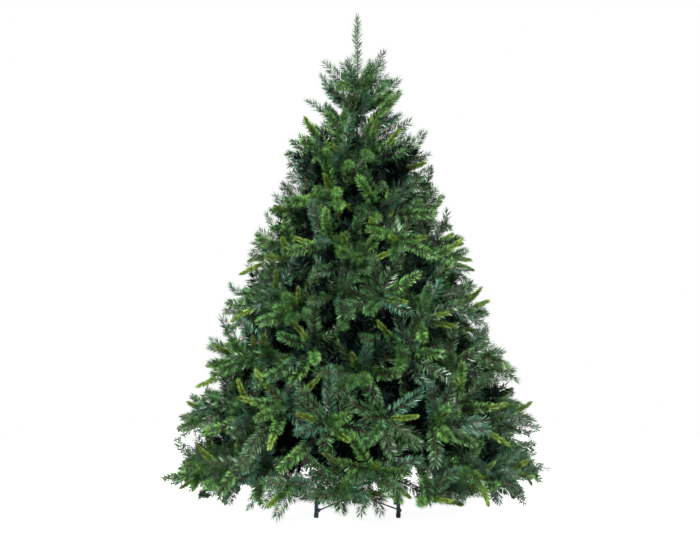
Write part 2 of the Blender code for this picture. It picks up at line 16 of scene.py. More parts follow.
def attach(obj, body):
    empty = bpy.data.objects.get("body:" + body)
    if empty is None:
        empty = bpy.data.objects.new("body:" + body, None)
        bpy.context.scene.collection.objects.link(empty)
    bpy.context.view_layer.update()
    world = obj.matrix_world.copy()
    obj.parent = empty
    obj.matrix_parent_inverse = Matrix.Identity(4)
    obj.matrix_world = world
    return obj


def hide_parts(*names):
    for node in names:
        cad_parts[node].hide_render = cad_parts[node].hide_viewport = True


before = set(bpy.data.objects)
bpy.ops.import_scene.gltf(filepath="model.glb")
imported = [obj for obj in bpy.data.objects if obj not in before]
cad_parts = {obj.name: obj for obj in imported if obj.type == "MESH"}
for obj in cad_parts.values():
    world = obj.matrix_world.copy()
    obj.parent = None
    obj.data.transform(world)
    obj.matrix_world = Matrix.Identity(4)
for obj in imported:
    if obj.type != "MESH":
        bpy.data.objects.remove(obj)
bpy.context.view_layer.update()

bl_info = {
    "name": "Artificial Christmas Tree",
    "version": (1, 0, 0),
    "blender": (4, 5, 0),
    "location": "View3D > Sidebar > Tree",
    "description": "Needle tips, wires, pole and stand of an artificial christmas tree",
    "category": "Object",
}

TAU = math.tau
BODY = "root"
SEED = 41

# Crown, in metres
TREE_HEIGHT = 2.10
CROWN_REACH = 0.80
CROWN_REACH_HEIGHT = 0.17
CROWN_TAPER = 0.384
UNDERSIDE_TAPER = 1.0

# Tiers of boughs, from the lowest up
BOUGHS_IN_TIER = (6, 6, 5, 5, 4, 3, 3)
FIRST_BOUGH_DEG = (-90, -60, -90, -54, -90, -90, -30)
TIERS = len(BOUGHS_IN_TIER)
TIERS_WITH_BARE_BOUGHS = 2
LOWEST_BRACKET = 0.36
BRACKET_STEP = 0.17
TIP_STEP = 0.25
TIP_STEP_LOSS = 0.005
LOWEST_TIP_HEIGHT = 0.17
TOP_BRACKET = 1.50
WAVE_HEIGHT = 0.050
WAVES_ROUND = 8
WAVE_SHIFT = 2.2

# Branchlets of a mass: rings of them round its stem, as (reach, share of the crown's radius, where
# they leave the stem as a share of the crown's radius)
BRANCHLETS_ROUND = (8, 8, 8, 8, 7, 7, 6)
HEART_CORNER_RINGS = 3
HEART_RAGGED = 0.84
RINGS = ((0.42, 1.02, 0.64), (0.96, 1.0, 0.44), (0.96, 0.70, 0.24))
STARS_ACROSS = (4, 3, 3, 3, 3, 2, 2)
STAR_DEPTH = 0.135
STAR_RISE = 0.35
STAR_TIPS = (13, 12, 11, 11, 10, 11, 11)
INNER_TIPS = (60, 34, 30, 28, 24, 18, 14)
TURN_BUNCHING = 0.25
SPACE_GAP = 0.005
POLE_CLEARANCE = 0.045
UNDERSIDE_AT_POLE = 0.30
UNDERSIDE_SLOPE = 0.5
UNDERSIDE_FLOOR = 0.100

# Top of the tree: whorls as (root height, tips, reach, tip height)
TOP_WHORLS = (
    (1.540, 6, 0.235, 1.650),
    (1.600, 5, 0.205, 1.735),
    (1.675, 5, 0.175, 1.815),
    (1.765, 5, 0.140, 1.900),
)
LEADER_FOOT = 1.80

# Pole, brackets and boughs
POLE_FOOT = 0.0403
POLE_SECTIONS = ((0.0160, 0.610), (0.0140, 1.120), (0.0120, TOP_BRACKET))
SLEEVE_LENGTH = 0.030
SLEEVE_WALL = 0.002
BRACKET_RADIUS = 0.034
BRACKET_HEIGHT = 0.022
BRACKET_PLATE = 0.0028
BRACKET_WAIST = 0.024
PIN_RADIUS = 0.0022
STEM_END_SHARE = 0.74
BOUGH_RADIUS = 0.009
STEM_RADIUS = 0.007
STEM_TIP_RADIUS = 0.004
WRAP_PITCH = 0.022
WRAP_HEIGHT = 0.14

# Stand
LEG_COUNT = 4
FIRST_LEG_DEG = 45
FOOT_DISTANCE = 0.238
LEG_RADIUS = 0.008
LEG_BEND_START = 0.045
LEG_BEND_RADIUS = 0.090
LEG_PIVOT = (0.046, 0.245)
BRACE_PIVOT = (0.042, 0.062)
BRACE_FOOT_HEIGHT = 0.030
BRACE_RADIUS = 0.003
EYE_RADIUS = 0.0085
TONGUE_THICKNESS = 0.0044
BRACE_EYE_THICKNESS = 0.0030
RIVET_RADIUS = 0.0025
RIVET_HEAD_RADIUS = 0.0048
RIVET_HEAD_HEIGHT = 0.0016
EAR_THICKNESS = 0.0025
EAR_HEIGHT = 0.020
EAR_REACH = 0.0055
CAP_RADIUS = 0.0105
CAP_HEIGHT = 0.018
CAP_FLOOR = 0.003
HUB_WALL = 0.0035
HUB_FOOT = 0.034
HUB_TOP = 0.310
COLLAR_RADIUS = 0.027
COLLAR_HEIGHT = 0.024
SCREW_HEIGHT = 0.287
SCREW_RADIUS = 0.0035
SCREW_PITCH = 0.0016
SCREW_HEAD_RADIUS = 0.011
SCREW_REACH = 0.050
FIT_GAP = 0.0003

# Pieces of needles, by the tiers they stand on
ZONES = {"lower": (0, 1), "middle": (2, 3), "upper": (4, 5, 6, 7)}

# Needles of one kind along a wire, with the share of a full tip's needles, and of their length
Spray = namedtuple("Spray", "kind shade curve up zone share size", defaults=(1.0,))

# A wire, brown or wrapped with green, its radii as multiples of a tip wire's
Wire = namedtuple("Wire", "curve start_radius end_radius zone wrapped", defaults=(False,))


def length_setting(name, note, default):
    return bpy.props.FloatProperty(name=name, description=note, default=default, unit="LENGTH")


def angle_setting(name, note, degrees):
    default = math.radians(degrees)
    return bpy.props.FloatProperty(name=name, description=note, default=default, subtype="ANGLE")


def share_setting(name, note, default):
    return bpy.props.FloatProperty(
        name=name, description=note, default=default, min=0, max=1, subtype="FACTOR"
    )


def number_setting(name, note, default, unit="NONE"):
    return bpy.props.FloatProperty(name=name, description=note, default=default, min=0, unit=unit)


def colour_setting(name, note, default):
    return bpy.props.FloatVectorProperty(
        name=name, description=note, default=default, size=3, subtype="COLOR"
    )


def needle_settings(title, count, length, width, pitch, lean, flat, shine, shades, colours):
    """A group of settings for one kind of needle tip, with its own defaults."""
    settings = {
        "count": bpy.props.IntProperty(
            name="Needles", description=f"Needles on a full {title}", default=count, min=10
        ),
        "length": length_setting("Needle length", f"Longest needle of a {title}", length),
        "width": length_setting("Needle width", f"Width of a needle of a {title}", width),
        "pitch": length_setting("Row pitch", "From one row of needles to the next", pitch),
        "lean_root": angle_setting("Lean at root", "Angle between wire and needles at the root", lean[0]),
        "lean_end": angle_setting("Lean at end", "Angle between wire and needles near the end", lean[1]),
        "flat": share_setting("Flatness", "Share of the needles that are combed to the two sides", flat),
        "shine": share_setting("Shine", "Strength of the film's reflection", shine),
        # Root and end brightness of a needle: a painted shade at the root, where the wire would shade it, and
        # a painted highlight at the end
        "root_shade": number_setting("Root shade", "Brightness of a needle at its root", shades[0]),
        "end_shade": number_setting("End shade", "Brightness of a needle at its end", shades[1]),
    }
    for number, colour in enumerate(colours, 1):
        note = f"Base colour of one shade of {title}"
        settings[f"colour_{number}"] = colour_setting(f"Colour {number}", note, colour)
    members = {"__doc__": f"Sizes and colours of a {title}", "__annotations__": settings}
    return type(title.title().replace(" ", "") + "Settings", (bpy.types.PropertyGroup,), members)


# Each kind's shades are a needle's brightness at root and end: painted shade at the root, painted highlight
# at the end
NEEDLES = {
    "dark": needle_settings(
        "dark flat tip", count=200, length=0.042, width=0.0028, pitch=0.0080, lean=(62, 46),
        flat=0.62, shine=0.65, shades=(0.06, 2.3),
        colours=((0.022, 0.058, 0.019), (0.028, 0.072, 0.024), (0.029, 0.080, 0.046)),
    ),
    "bright": needle_settings(
        "bright round tip", count=300, length=0.034, width=0.0031, pitch=0.0070, lean=(70, 50),
        flat=0.0, shine=0.50, shades=(0.06, 2.0),
        colours=((0.057, 0.136, 0.032), (0.080, 0.182, 0.043), (0.040, 0.108, 0.030)),
    ),
    "young": needle_settings(
        "young tip", count=220, length=0.022, width=0.0042, pitch=0.0060, lean=(46, 30),
        flat=0.0, shine=0.35, shades=(0.60, 1.40),
        colours=((0.142, 0.227, 0.038), (0.182, 0.280, 0.050), (0.108, 0.181, 0.033)),
    ),
    # The inner wraps' near-black colours are painted shade: far darker than the tips' film, for the shadow
    # inside the crown
    "inner": needle_settings(
        "inner wire wrap", count=54, length=0.054, width=0.0100, pitch=0.0080, lean=(72, 58),
        flat=0.0, shine=0.08, shades=(0.30, 1.5),
        colours=((0.005, 0.012, 0.009), (0.007, 0.017, 0.012), (0.004, 0.010, 0.008)),
    ),
}
SHADES = 3

# Needles crowd to the rows of the twisted wire, and each row and each needle has its own tone
ROW_CROWDING = 0.88
ROW_TONE = 0.28
ROW_TONES = 64
NEEDLE_TONE = 0.25

# A needle's widest place and its fold, as shares of its length and half width, and how needles vary
WIDEST_AT = 0.45
FOLD = 0.55
LENGTH_RANGE = (0.82, 1.08)
COMB_SPREAD = 0.40
LEAN_SPREAD = 0.08
END_CLOSING = 0.45
TWIST = 1.2
TWIST_SPREAD = 0.6

FILM_REFLECTION = (0.86, 1.00, 0.84, 1)
GREY_FLOOR = (0.42, 0.42, 0.42)


class TipSettings(bpy.types.PropertyGroup):
    """Lengths and shares of the needle tips."""

    dark_length: length_setting("Long tip", "Length of a whole tip", 0.185)
    bright_length: length_setting("Bright tip", "Length of a bright tip's own needles", 0.140)
    young_length: length_setting("Young tip", "Length of a young tip", 0.110)
    bright_share: share_setting("Bright share", "Share of tips that are bright and round", 0.36)
    young_share: share_setting("Young share", "Share of tips that are young", 0.085)
    young_end_share: share_setting("Young ends", "Share of bright tips that end in young growth", 0.20)


class WireSettings(bpy.types.PropertyGroup):
    """Sizes and colours of the wires, the boughs and the pole."""

    tip_radius: length_setting("Tip wire", "Radius of the twisted wire in a tip", 0.0009)
    wire_colour: colour_setting("Wire", "Colour of the tips' brown wires", (0.110, 0.072, 0.032))
    wrap_colour: colour_setting("Wrap", "Colour of the wrap on the boughs", (0.035, 0.040, 0.022))
    pole_colour: colour_setting("Pole", "Colour of the pole's paint", (0.014, 0.040, 0.024))


class StandSettings(bpy.types.PropertyGroup):
    """Colours of the folding stand."""

    paint: colour_setting("Paint", "Colour of the stand's paint", (0.205, 0.300, 0.360))
    caps: colour_setting("Caps", "Colour of the plastic foot caps", (0.185, 0.265, 0.310))


class StudioSettings(bpy.types.PropertyGroup):
    """The camera and the light."""

    distance: length_setting("Distance", "From the pole to the camera", 6.0)
    height: length_setting("Height", "Height of the camera", 1.0)
    sideways: length_setting("Sideways", "Camera's place across the view", -0.03)
    lens: number_setting("Lens", "Focal length of the camera", 73.1, "CAMERA")
    power: number_setting("Power", "Power that each light has a share of", 538, "POWER")
    sky: number_setting("Surround", "Light from the pale surround", 0.04)
    floor_glow: number_setting("Floor glow", "What the camera sees on top of the floor's own light", 0.95)


def crown_radius(height):
    """The crown's radius: a straight cone, drawn in again under its widest place."""
    over = height - CROWN_REACH_HEIGHT
    return CROWN_REACH - (CROWN_TAPER * over if over > 0 else -UNDERSIDE_TAPER * over)


def bracket_height(tier):
    return LOWEST_BRACKET + BRACKET_STEP * tier


def tip_height(tier):
    """Height where a tier meets the crown's surface. The steps get a little smaller upwards."""
    return LOWEST_TIP_HEIGHT + TIP_STEP * tier - TIP_STEP_LOSS * tier * (tier - 1)


def stem_slope(tier):
    """Rise of a tier's stems for each metre outwards."""
    return (tip_height(tier) - bracket_height(tier)) / crown_radius(tip_height(tier))


def boundary_height(tier, azimuth, distance):
    """Height of the wavy cone that parts a tier from the one under it, at a place in plan."""
    at_pole = bracket_height(tier - 0.5)
    at_surface = tip_height(tier - 0.5) + WAVE_HEIGHT * math.sin(WAVES_ROUND * azimuth + WAVE_SHIFT * tier)
    return at_pole + (at_surface - at_pole) * distance / crown_radius(tip_height(tier - 0.5))


def at(azimuth, distance, height):
    """The place (d cos a, d sin a, h)."""
    return Vector((distance * math.cos(azimuth), distance * math.sin(azimuth), height))


def bough_azimuth(tier, spoke):
    return math.radians(FIRST_BOUGH_DEG[tier] + 360 / BOUGHS_IN_TIER[tier] * spoke)


def on_stem(tier, azimuth, distance):
    """The place on a bough's stem at a distance from the pole's axis."""
    return at(azimuth, distance, bracket_height(tier) + stem_slope(tier) * distance)


class Share:
    """The share of the crown that one mass keeps to: a sector between two cones."""

    def __init__(self, tier, centre, sector):
        self.tier = tier
        self.centre = centre
        self.sector = sector

    def low(self, azimuth, distance):
        if self.tier == 0:
            return max(UNDERSIDE_FLOOR, UNDERSIDE_AT_POLE - UNDERSIDE_SLOPE * distance)
        return boundary_height(self.tier, azimuth, distance) + SPACE_GAP

    def high(self, azimuth, distance):
        return boundary_height(self.tier + 1, azimuth, distance) - SPACE_GAP

    def place(self, distance, across, rise):
        """A point at a distance from the axis, from edge to edge and from low to high: -1 to 1."""
        azimuth = self.centre + self.sector * 0.5 * across
        low, high = self.low(azimuth, distance), self.high(azimuth, distance)
        return at(azimuth, distance, low + (high - low) * (0.5 + 0.5 * rise))


def even_turn(part):
    """A turn round a stem, bunched towards up and down, where a mass is widest."""
    return TAU * part + TURN_BUNCHING * math.sin(2 * TAU * part)


def branchlet_tip(share, turn, reach, depth, rng):
    """Where a branchlet ends: spread over the face of its share, from edge to edge."""
    across, rise = math.cos(turn), math.sin(turn)
    square = max(abs(across), abs(rise)) ** 0.8
    across, rise = (part * reach / square + rng.uniform(-0.04, 0.04) for part in (across, rise))
    across, rise = (max(-0.97, min(0.97, part)) for part in (across, rise))
    distance = depth * crown_radius(tip_height(share.tier + 0.5 * rise)) * rng.uniform(0.96, 1.03)
    return share.place(distance, across, rise)


def point_on(curve, part):
    """The place (1-s)^2 a + 2s(1-s) b + s^2 c on a bent wire."""
    a, b, c = curve
    return a * (1 - part) ** 2 + b * (2 * part * (1 - part)) + c * part**2


def part_of(curve, start, end):
    """The stretch of a bent wire between two places on it, from 0 to 1."""
    a, b, c = curve
    middle = a * ((1 - start) * (1 - end)) + b * ((1 - start) * end + start * (1 - end)) + c * (start * end)
    return point_on(curve, start), middle, point_on(curve, end)


class Growth:
    """The tree's wires and needle tips as they are grown, bough by bough."""

    TRIES = 24
    SIDE_ANGLE_DEG = (20, 100)
    ROOM_ENOUGH = 0.16
    DEEP_LOSS = 0.5
    HANGING_TIPS = 3

    # How far out, as a share of the crown's radius, and how low a side tip may end: from strict to loose.
    # Below a height the crown draws them in no further.
    OUTSIDE = (0.77, 0.99)
    CLOSEST_TO_FLOOR = (0.150, 0.080)
    DRAWN_IN_DOWN_TO = 0.130

    # Wires inside a mass. Those that reach under a height are seen from below, and their needles are fine;
    # the others' needles are near black, a painted shade.
    ROOTS_FROM = 0.075
    INNER_REACH = 0.82
    INNER_LENGTH = 0.21
    SEEN_FROM_BELOW = 0.23
    FINE_SHARE = 0.55

    def __init__(self, tips):
        self.tips = tips
        self.sprays = []
        self.wires = []
        self.middles = []

    def up_for(self, curve, rng):
        """The side of a flat tip that is seen: outwards and upwards, a little at random."""
        along = (curve[2] - curve[0]).normalized()
        middle = point_on(curve, 0.5)
        outward = Vector((middle.x, middle.y, 0)).normalized()
        up = outward * 0.7 + Vector((0, 0, 0.6)) + Vector([rng.gauss(0, 0.28) for _ in range(3)])
        up -= up.project(along)
        return up.normalized()

    def add_tip(self, curve, zone, rng, young=1.0):
        """A needle tip. Its kind is dealt out, and one that looks outwards is bright more often."""
        tips = self.tips
        length = (curve[2] - curve[0]).length
        outward = Vector((curve[2].x, curve[2].y, 0)).normalized()
        facing = max(0, (curve[2] - curve[0]).dot(outward) / length)
        bright = tips.bright_share * (0.40 + 1.2 * facing**2)
        deal = rng.random()
        shade = rng.randrange(SHADES)
        up = self.up_for(curve, rng)
        if deal < bright and rng.random() < tips.young_end_share * young:
            self.sprays.append(Spray("bright", shade, part_of(curve, 0, 0.66), up, zone, 0.7))
            self.sprays.append(Spray("young", shade, part_of(curve, 0.55, 1), up, zone, 0.7))
        elif deal < bright:
            part = min(1, rng.uniform(0.85, 1.2) * tips.bright_length / length)
            self.ended_tip("bright", part, shade, curve, up, zone)
        elif deal < bright + tips.young_share * young:
            part = min(1, rng.uniform(0.75, 1.15) * tips.young_length / length)
            self.ended_tip("young", part, shade, curve, up, zone)
        else:
            self.sprays.append(Spray("dark", shade, curve, up, zone, min(1.15, length / tips.dark_length)))
        self.wires.append(Wire(curve, 1.5, 0.8, zone, deal < bright))
        self.middles.append(point_on(curve, 0.6))

    def ended_tip(self, kind, part, shade, curve, up, zone):
        """A tip whose last part is of one kind, and dark before that."""
        self.sprays.append(Spray(kind, shade, part_of(curve, 1 - part, 1), up, zone, 1))
        if part < 0.85:
            self.sprays.append(Spray("dark", shade, part_of(curve, 0, 1.04 - part), up, zone, 1 - part))

    def add_wrap(self, curve, zone, rng, share):
        """Needles on a wire inside: coarse and nearly black, but fine ones where they are seen from below."""
        fine = min(curve[0].z, curve[2].z) < self.SEEN_FROM_BELOW
        kind, share = ("dark", self.FINE_SHARE * share) if fine else ("inner", share)
        self.sprays.append(Spray(kind, rng.randrange(SHADES), curve, self.up_for(curve, rng), zone, share))

    def side_tip(self, node, along, length, zone, rng, young=1.0):
        """A tip that leaves a branchlet where there is most room, near the crown's surface."""
        best, best_score = None, -math.inf
        free = rng.random()
        widest, closest = (low + (high - low) * free for low, high in (self.OUTSIDE, self.CLOSEST_TO_FLOOR))
        level = along.orthogonal().normalized()
        other = along.cross(level)
        middles = np.array(self.middles) if self.middles else np.zeros((1, 3))
        for _ in range(self.TRIES):
            angle = math.radians(rng.uniform(*self.SIDE_ANGLE_DEG))
            turn = rng.uniform(0, TAU)
            aside = level * math.cos(turn) + other * math.sin(turn)
            way = along * math.cos(angle) + aside * math.sin(angle)
            reach = length * rng.uniform(0.85, 1.1)
            end = node + way * reach
            distance = math.hypot(end.x, end.y)
            outside = distance - crown_radius(max(end.z, self.DRAWN_IN_DOWN_TO)) * widest
            if outside > 0 or end.z < closest or distance < POLE_CLEARANCE:
                continue
            middle = np.array(node.lerp(end, 0.6))
            room = math.sqrt(((middles - middle) ** 2).sum(1).min())
            score = min(room, self.ROOM_ENOUGH) + self.DEEP_LOSS * outside
            if score > best_score:
                lift = Vector((0, 0, -rng.uniform(0.0, 0.18))) * reach
                lean = Vector([rng.gauss(0, 0.05) for _ in range(3)]) * reach
                best, best_score = (node, node.lerp(end, 0.5) + lift + lean, end), score
        if best:
            self.add_tip(best, zone, rng, young)

    def star_centres(self, share, spoke, rng):
        """Forks of a bough: a row across its share, by turns high and low, a little inside the crown."""
        count = STARS_ACROSS[share.tier]
        for number in range(count):
            across = (2 * number + 1) / count - 1 + rng.uniform(-0.08, 0.08)
            rise = (-1) ** (number + spoke) * STAR_RISE + rng.uniform(-0.15, 0.15)
            radius = crown_radius(tip_height(share.tier + 0.5 * rise))
            yield share.place(radius - STAR_DEPTH * rng.uniform(0.85, 1.45), across, rise)

    def branchlet(self, root, stem_way, tip, zone, rng, inner):
        """A wire that bends towards its tip. Needles cover its last stretch."""
        length = (tip - root).length
        bend = root.lerp(tip, 0.42) + stem_way * (0.10 * length) - Vector((0, 0, 0.05 * length))
        curve = (root, bend, tip)
        covered = min(0.96, self.tips.dark_length * rng.uniform(0.92, 1.12) / length)
        fork = 1 - covered
        self.wires.append(Wire(part_of(curve, 0, fork), 2.6, 1.8, zone, True))
        if fork > 0.2:
            self.add_wrap(part_of(curve, 0.05, fork + 0.1), zone, rng, min(1.5, fork * length / 0.16))
        end = part_of(curve, fork, 1)
        if inner:
            self.add_wrap(end, zone, rng, 1.3)
            self.wires.append(Wire(end, 1.0, 0.6, zone))
        else:
            self.add_tip(end, zone, rng)

    def hanging_tips(self, share, zone, rng):
        """Tips of the lowest boughs that droop outwards, nearly to the floor."""
        for number in range(self.HANGING_TIPS):
            across = (2 * number + 1) / self.HANGING_TIPS - 1 + rng.uniform(-0.12, 0.12)
            azimuth = share.centre + share.sector * 0.5 * across
            reach = CROWN_REACH * rng.uniform(0.90, 0.98)
            end = at(azimuth + rng.uniform(-0.08, 0.08), reach, rng.uniform(*sorted(self.CLOSEST_TO_FLOOR)))
            root = at(azimuth, reach - rng.uniform(0.09, 0.13), end.z + rng.uniform(0.11, 0.14))
            bend = root.lerp(end, 0.5) + at(azimuth, 0.03, 0.02)
            self.add_tip((root, bend, end), zone, rng, 0.5)

    def mass(self, tier, spoke, zone):
        """One bough's share of the crown: rings of branchlets that leave its stem, front to back."""
        name = f"foliage_tier_{tier + 1}_{spoke + 1}"
        rng = random.Random(f"{SEED} {name}")
        azimuth = bough_azimuth(tier, spoke)
        share = Share(tier, azimuth, TAU / BOUGHS_IN_TIER[tier])
        sides = BRANCHLETS_ROUND[tier]
        turns = [even_turn((number + 0.5) / sides) for number in range(sides)]
        # The solids draw the corners of their heart here. Drawn too, they leave the same numbers to the tips.
        for _ in range(2 + HEART_CORNER_RINGS * sides):
            rng.uniform(HEART_RAGGED, 1)
        targets = [
            [branchlet_tip(share, turn, reach, depth, rng) for turn in turns] for reach, depth, _ in RINGS
        ]
        wild = random.Random(f"{SEED} {name} wires")
        radius = crown_radius(tip_height(tier))
        stem_way = at(azimuth, 1, stem_slope(tier)).normalized()
        centres = list(self.star_centres(share, spoke, wild))
        stars = {number: [] for number in range(len(centres))}
        for tip in targets[0] + targets[1]:
            nearest = min(stars, key=lambda number: (centres[number] - tip).length)
            stars[nearest].append(tip)
        for number, centre in enumerate(centres):
            root = on_stem(tier, azimuth, max(self.ROOTS_FROM, radius * wild.uniform(0.36, 0.50)))
            arm = (root, root.lerp(centre, 0.45) + stem_way * 0.04, centre)
            self.wires.append(Wire(arm, 3.4, 2.4, zone, True))
            self.add_wrap(part_of(arm, 0.05, 0.55), zone, wild, 1.5)
            self.add_wrap(part_of(arm, 0.5, 1), zone, wild, 1.5)
            for tip in stars[number]:
                self.branchlet(centre, stem_way, tip, zone, wild, False)
            outward = (centre - root).normalized() + stem_way
            for _ in range(STAR_TIPS[tier] - len(stars[number])):
                self.side_tip(centre, outward.normalized(), self.tips.dark_length, zone, wild)
        if tier == 0:
            self.hanging_tips(share, zone, wild)
        for tip in targets[2]:
            distance = radius * (RINGS[2][2] + wild.uniform(-0.08, 0.08))
            root = on_stem(tier, azimuth, max(self.ROOTS_FROM, distance))
            self.branchlet(root, stem_way, tip, zone, wild, True)
        self.inside(tier, azimuth, stem_way, zone, wild)

    def inside(self, tier, azimuth, stem_way, zone, rng):
        """Needles along a bough's stem, and on short wires that stand off it all round."""
        radius = crown_radius(tip_height(tier))
        start = on_stem(tier, azimuth, BRACKET_RADIUS)
        end = on_stem(tier, azimuth, STEM_END_SHARE * radius)
        from_pole = start.lerp(end, 0.1 if tier >= TIERS_WITH_BARE_BOUGHS else 0.45)
        for part in range(3):
            low, high = from_pole.lerp(end, part / 3), from_pole.lerp(end, (part + 1.1) / 3)
            self.add_wrap((low, low.lerp(high, 0.5), high), zone, rng, 1.6)
        for _ in range(INNER_TIPS[tier]):
            root = start.lerp(end, rng.uniform(0.1, 0.95))
            turn = rng.uniform(0, TAU)
            sideways = at(azimuth + math.pi / 2, 1, 0) * math.cos(turn) + Vector((0, 0, 1)) * math.sin(turn)
            way = (sideways + stem_way * rng.uniform(0.0, 0.9)).normalized()
            tip = root + way * min(self.INNER_LENGTH, 0.42 * radius)
            tip = root.lerp(tip, min(1, self.INNER_REACH * crown_radius(tip.z) / math.hypot(tip.x, tip.y)))
            if tip.z > UNDERSIDE_FLOOR:
                self.add_wrap((root, root.lerp(tip, 0.5), tip), zone, rng, 1.0)

    def top(self, zone):
        """The top: four whorls of rising tips round a short stem, and the leader."""
        rng = random.Random(f"{SEED} top")
        for whorl, (root_height, count, reach, height) in enumerate(TOP_WHORLS):
            for spoke in range(count):
                azimuth = TAU * (spoke + 0.5 * whorl + rng.uniform(-0.12, 0.12)) / count
                tip = at(azimuth, reach * rng.uniform(0.93, 1.0), height + rng.uniform(-0.02, 0.02))
                root = at(azimuth, 0.003, root_height + rng.uniform(-0.012, 0.012))
                # The solids draw the roll of their blade here
                rng.choice((-1, 1))
                rng.uniform(0, 1)
                bend = root.lerp(tip, 0.5) - Vector((0, 0, 0.012))
                self.add_tip((root.lerp(tip, 0.1), bend, tip), zone, rng, 0.0)
                for _ in range(2):
                    node = root.lerp(tip, rng.uniform(0.1, 0.35))
                    self.side_tip(node, (tip - root).normalized(), rng.uniform(0.11, 0.14), zone, rng, 0.0)
        foot, tip = Vector((0, 0, LEADER_FOOT)), Vector((0, 0, TREE_HEIGHT - 0.012))
        rod = (foot, foot.lerp(tip, 0.5), tip)
        self.sprays.append(Spray("dark", 1, rod, Vector((0, -1, 0)), zone, 0.75, 0.84))
        self.sprays.append(Spray("dark", 0, part_of(rod, 0.1, 0.97), Vector((0, -1, 0)), zone, 1.1, 0.40))
        stem = (Vector((0, 0, TOP_BRACKET)), Vector((0, 0, LEADER_FOOT)), tip)
        self.wires.append(Wire(stem, 4.4, 2.2, zone, True))


def grow_tree():
    """All wires and tips of the tree. Each call grows the same ones."""
    growth = Growth(bpy.context.scene.tree_tips)
    for zone, tiers in ZONES.items():
        for tier in tiers:
            if tier == TIERS:
                growth.top(zone)
                continue
            for spoke in range(BOUGHS_IN_TIER[tier]):
                growth.mass(tier, spoke, zone)
    return growth


def nodes_of(zone):
    """Names of the foliage solids that stand on a zone's tiers."""
    names = []
    for tier in ZONES[zone]:
        if tier == TIERS:
            names.append("foliage_top")
        else:
            names += [f"foliage_tier_{tier + 1}_{spoke + 1}" for spoke in range(BOUGHS_IN_TIER[tier])]
    return names


def unit(vectors):
    """Vectors over their own lengths."""
    return vectors / np.maximum(np.linalg.norm(vectors, axis=-1, keepdims=True), 1e-12)


def on_curves(curves, places):
    """Points (1-s)^2 a + 2s(1-s) b + s^2 c on bent wires, and the unit directions there."""
    a, b, c = (curves[:, None, k] for k in range(3))
    s = places[..., None]
    points = (1 - s) ** 2 * a + 2 * s * (1 - s) * b + s**2 * c
    return points, unit((1 - s) * (b - a) + s * (c - b))


def new_piece(name, shape, materials, nodes, slot, numbers=None, smooth=True, run=None):
    """A piece in place of its nodes, from arrays.

    Its shape is corners (n, 3) and triangles (m, 3). It may have a material number for each triangle,
    and the attribute run for each corner.
    """
    vertices, faces = shape
    mesh = bpy.data.meshes.new(name)
    mesh.vertices.add(len(vertices))
    mesh.vertices.foreach_set("co", np.ascontiguousarray(vertices, np.float32).ravel())
    mesh.loops.add(faces.size)
    mesh.loops.foreach_set("vertex_index", np.ascontiguousarray(faces, np.int32).ravel())
    mesh.polygons.add(len(faces))
    mesh.polygons.foreach_set("loop_start", np.arange(len(faces), dtype=np.int32) * 3)
    for material in materials:
        mesh.materials.append(material)
    if numbers is not None:
        mesh.polygons.foreach_set("material_index", numbers.astype(np.int32))
    mesh.polygons.foreach_set("use_smooth", np.full(len(faces), smooth))
    if run is not None:
        layer = mesh.attributes.new("run", "FLOAT", "POINT")
        layer.data.foreach_set("value", run.astype(np.float32))
    mesh.update(calc_edges=True)
    mesh.validate()
    piece = bpy.data.objects.new(name, mesh)
    bpy.context.scene.collection.objects.link(piece)
    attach(piece, BODY)
    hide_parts(*nodes)
    return piece


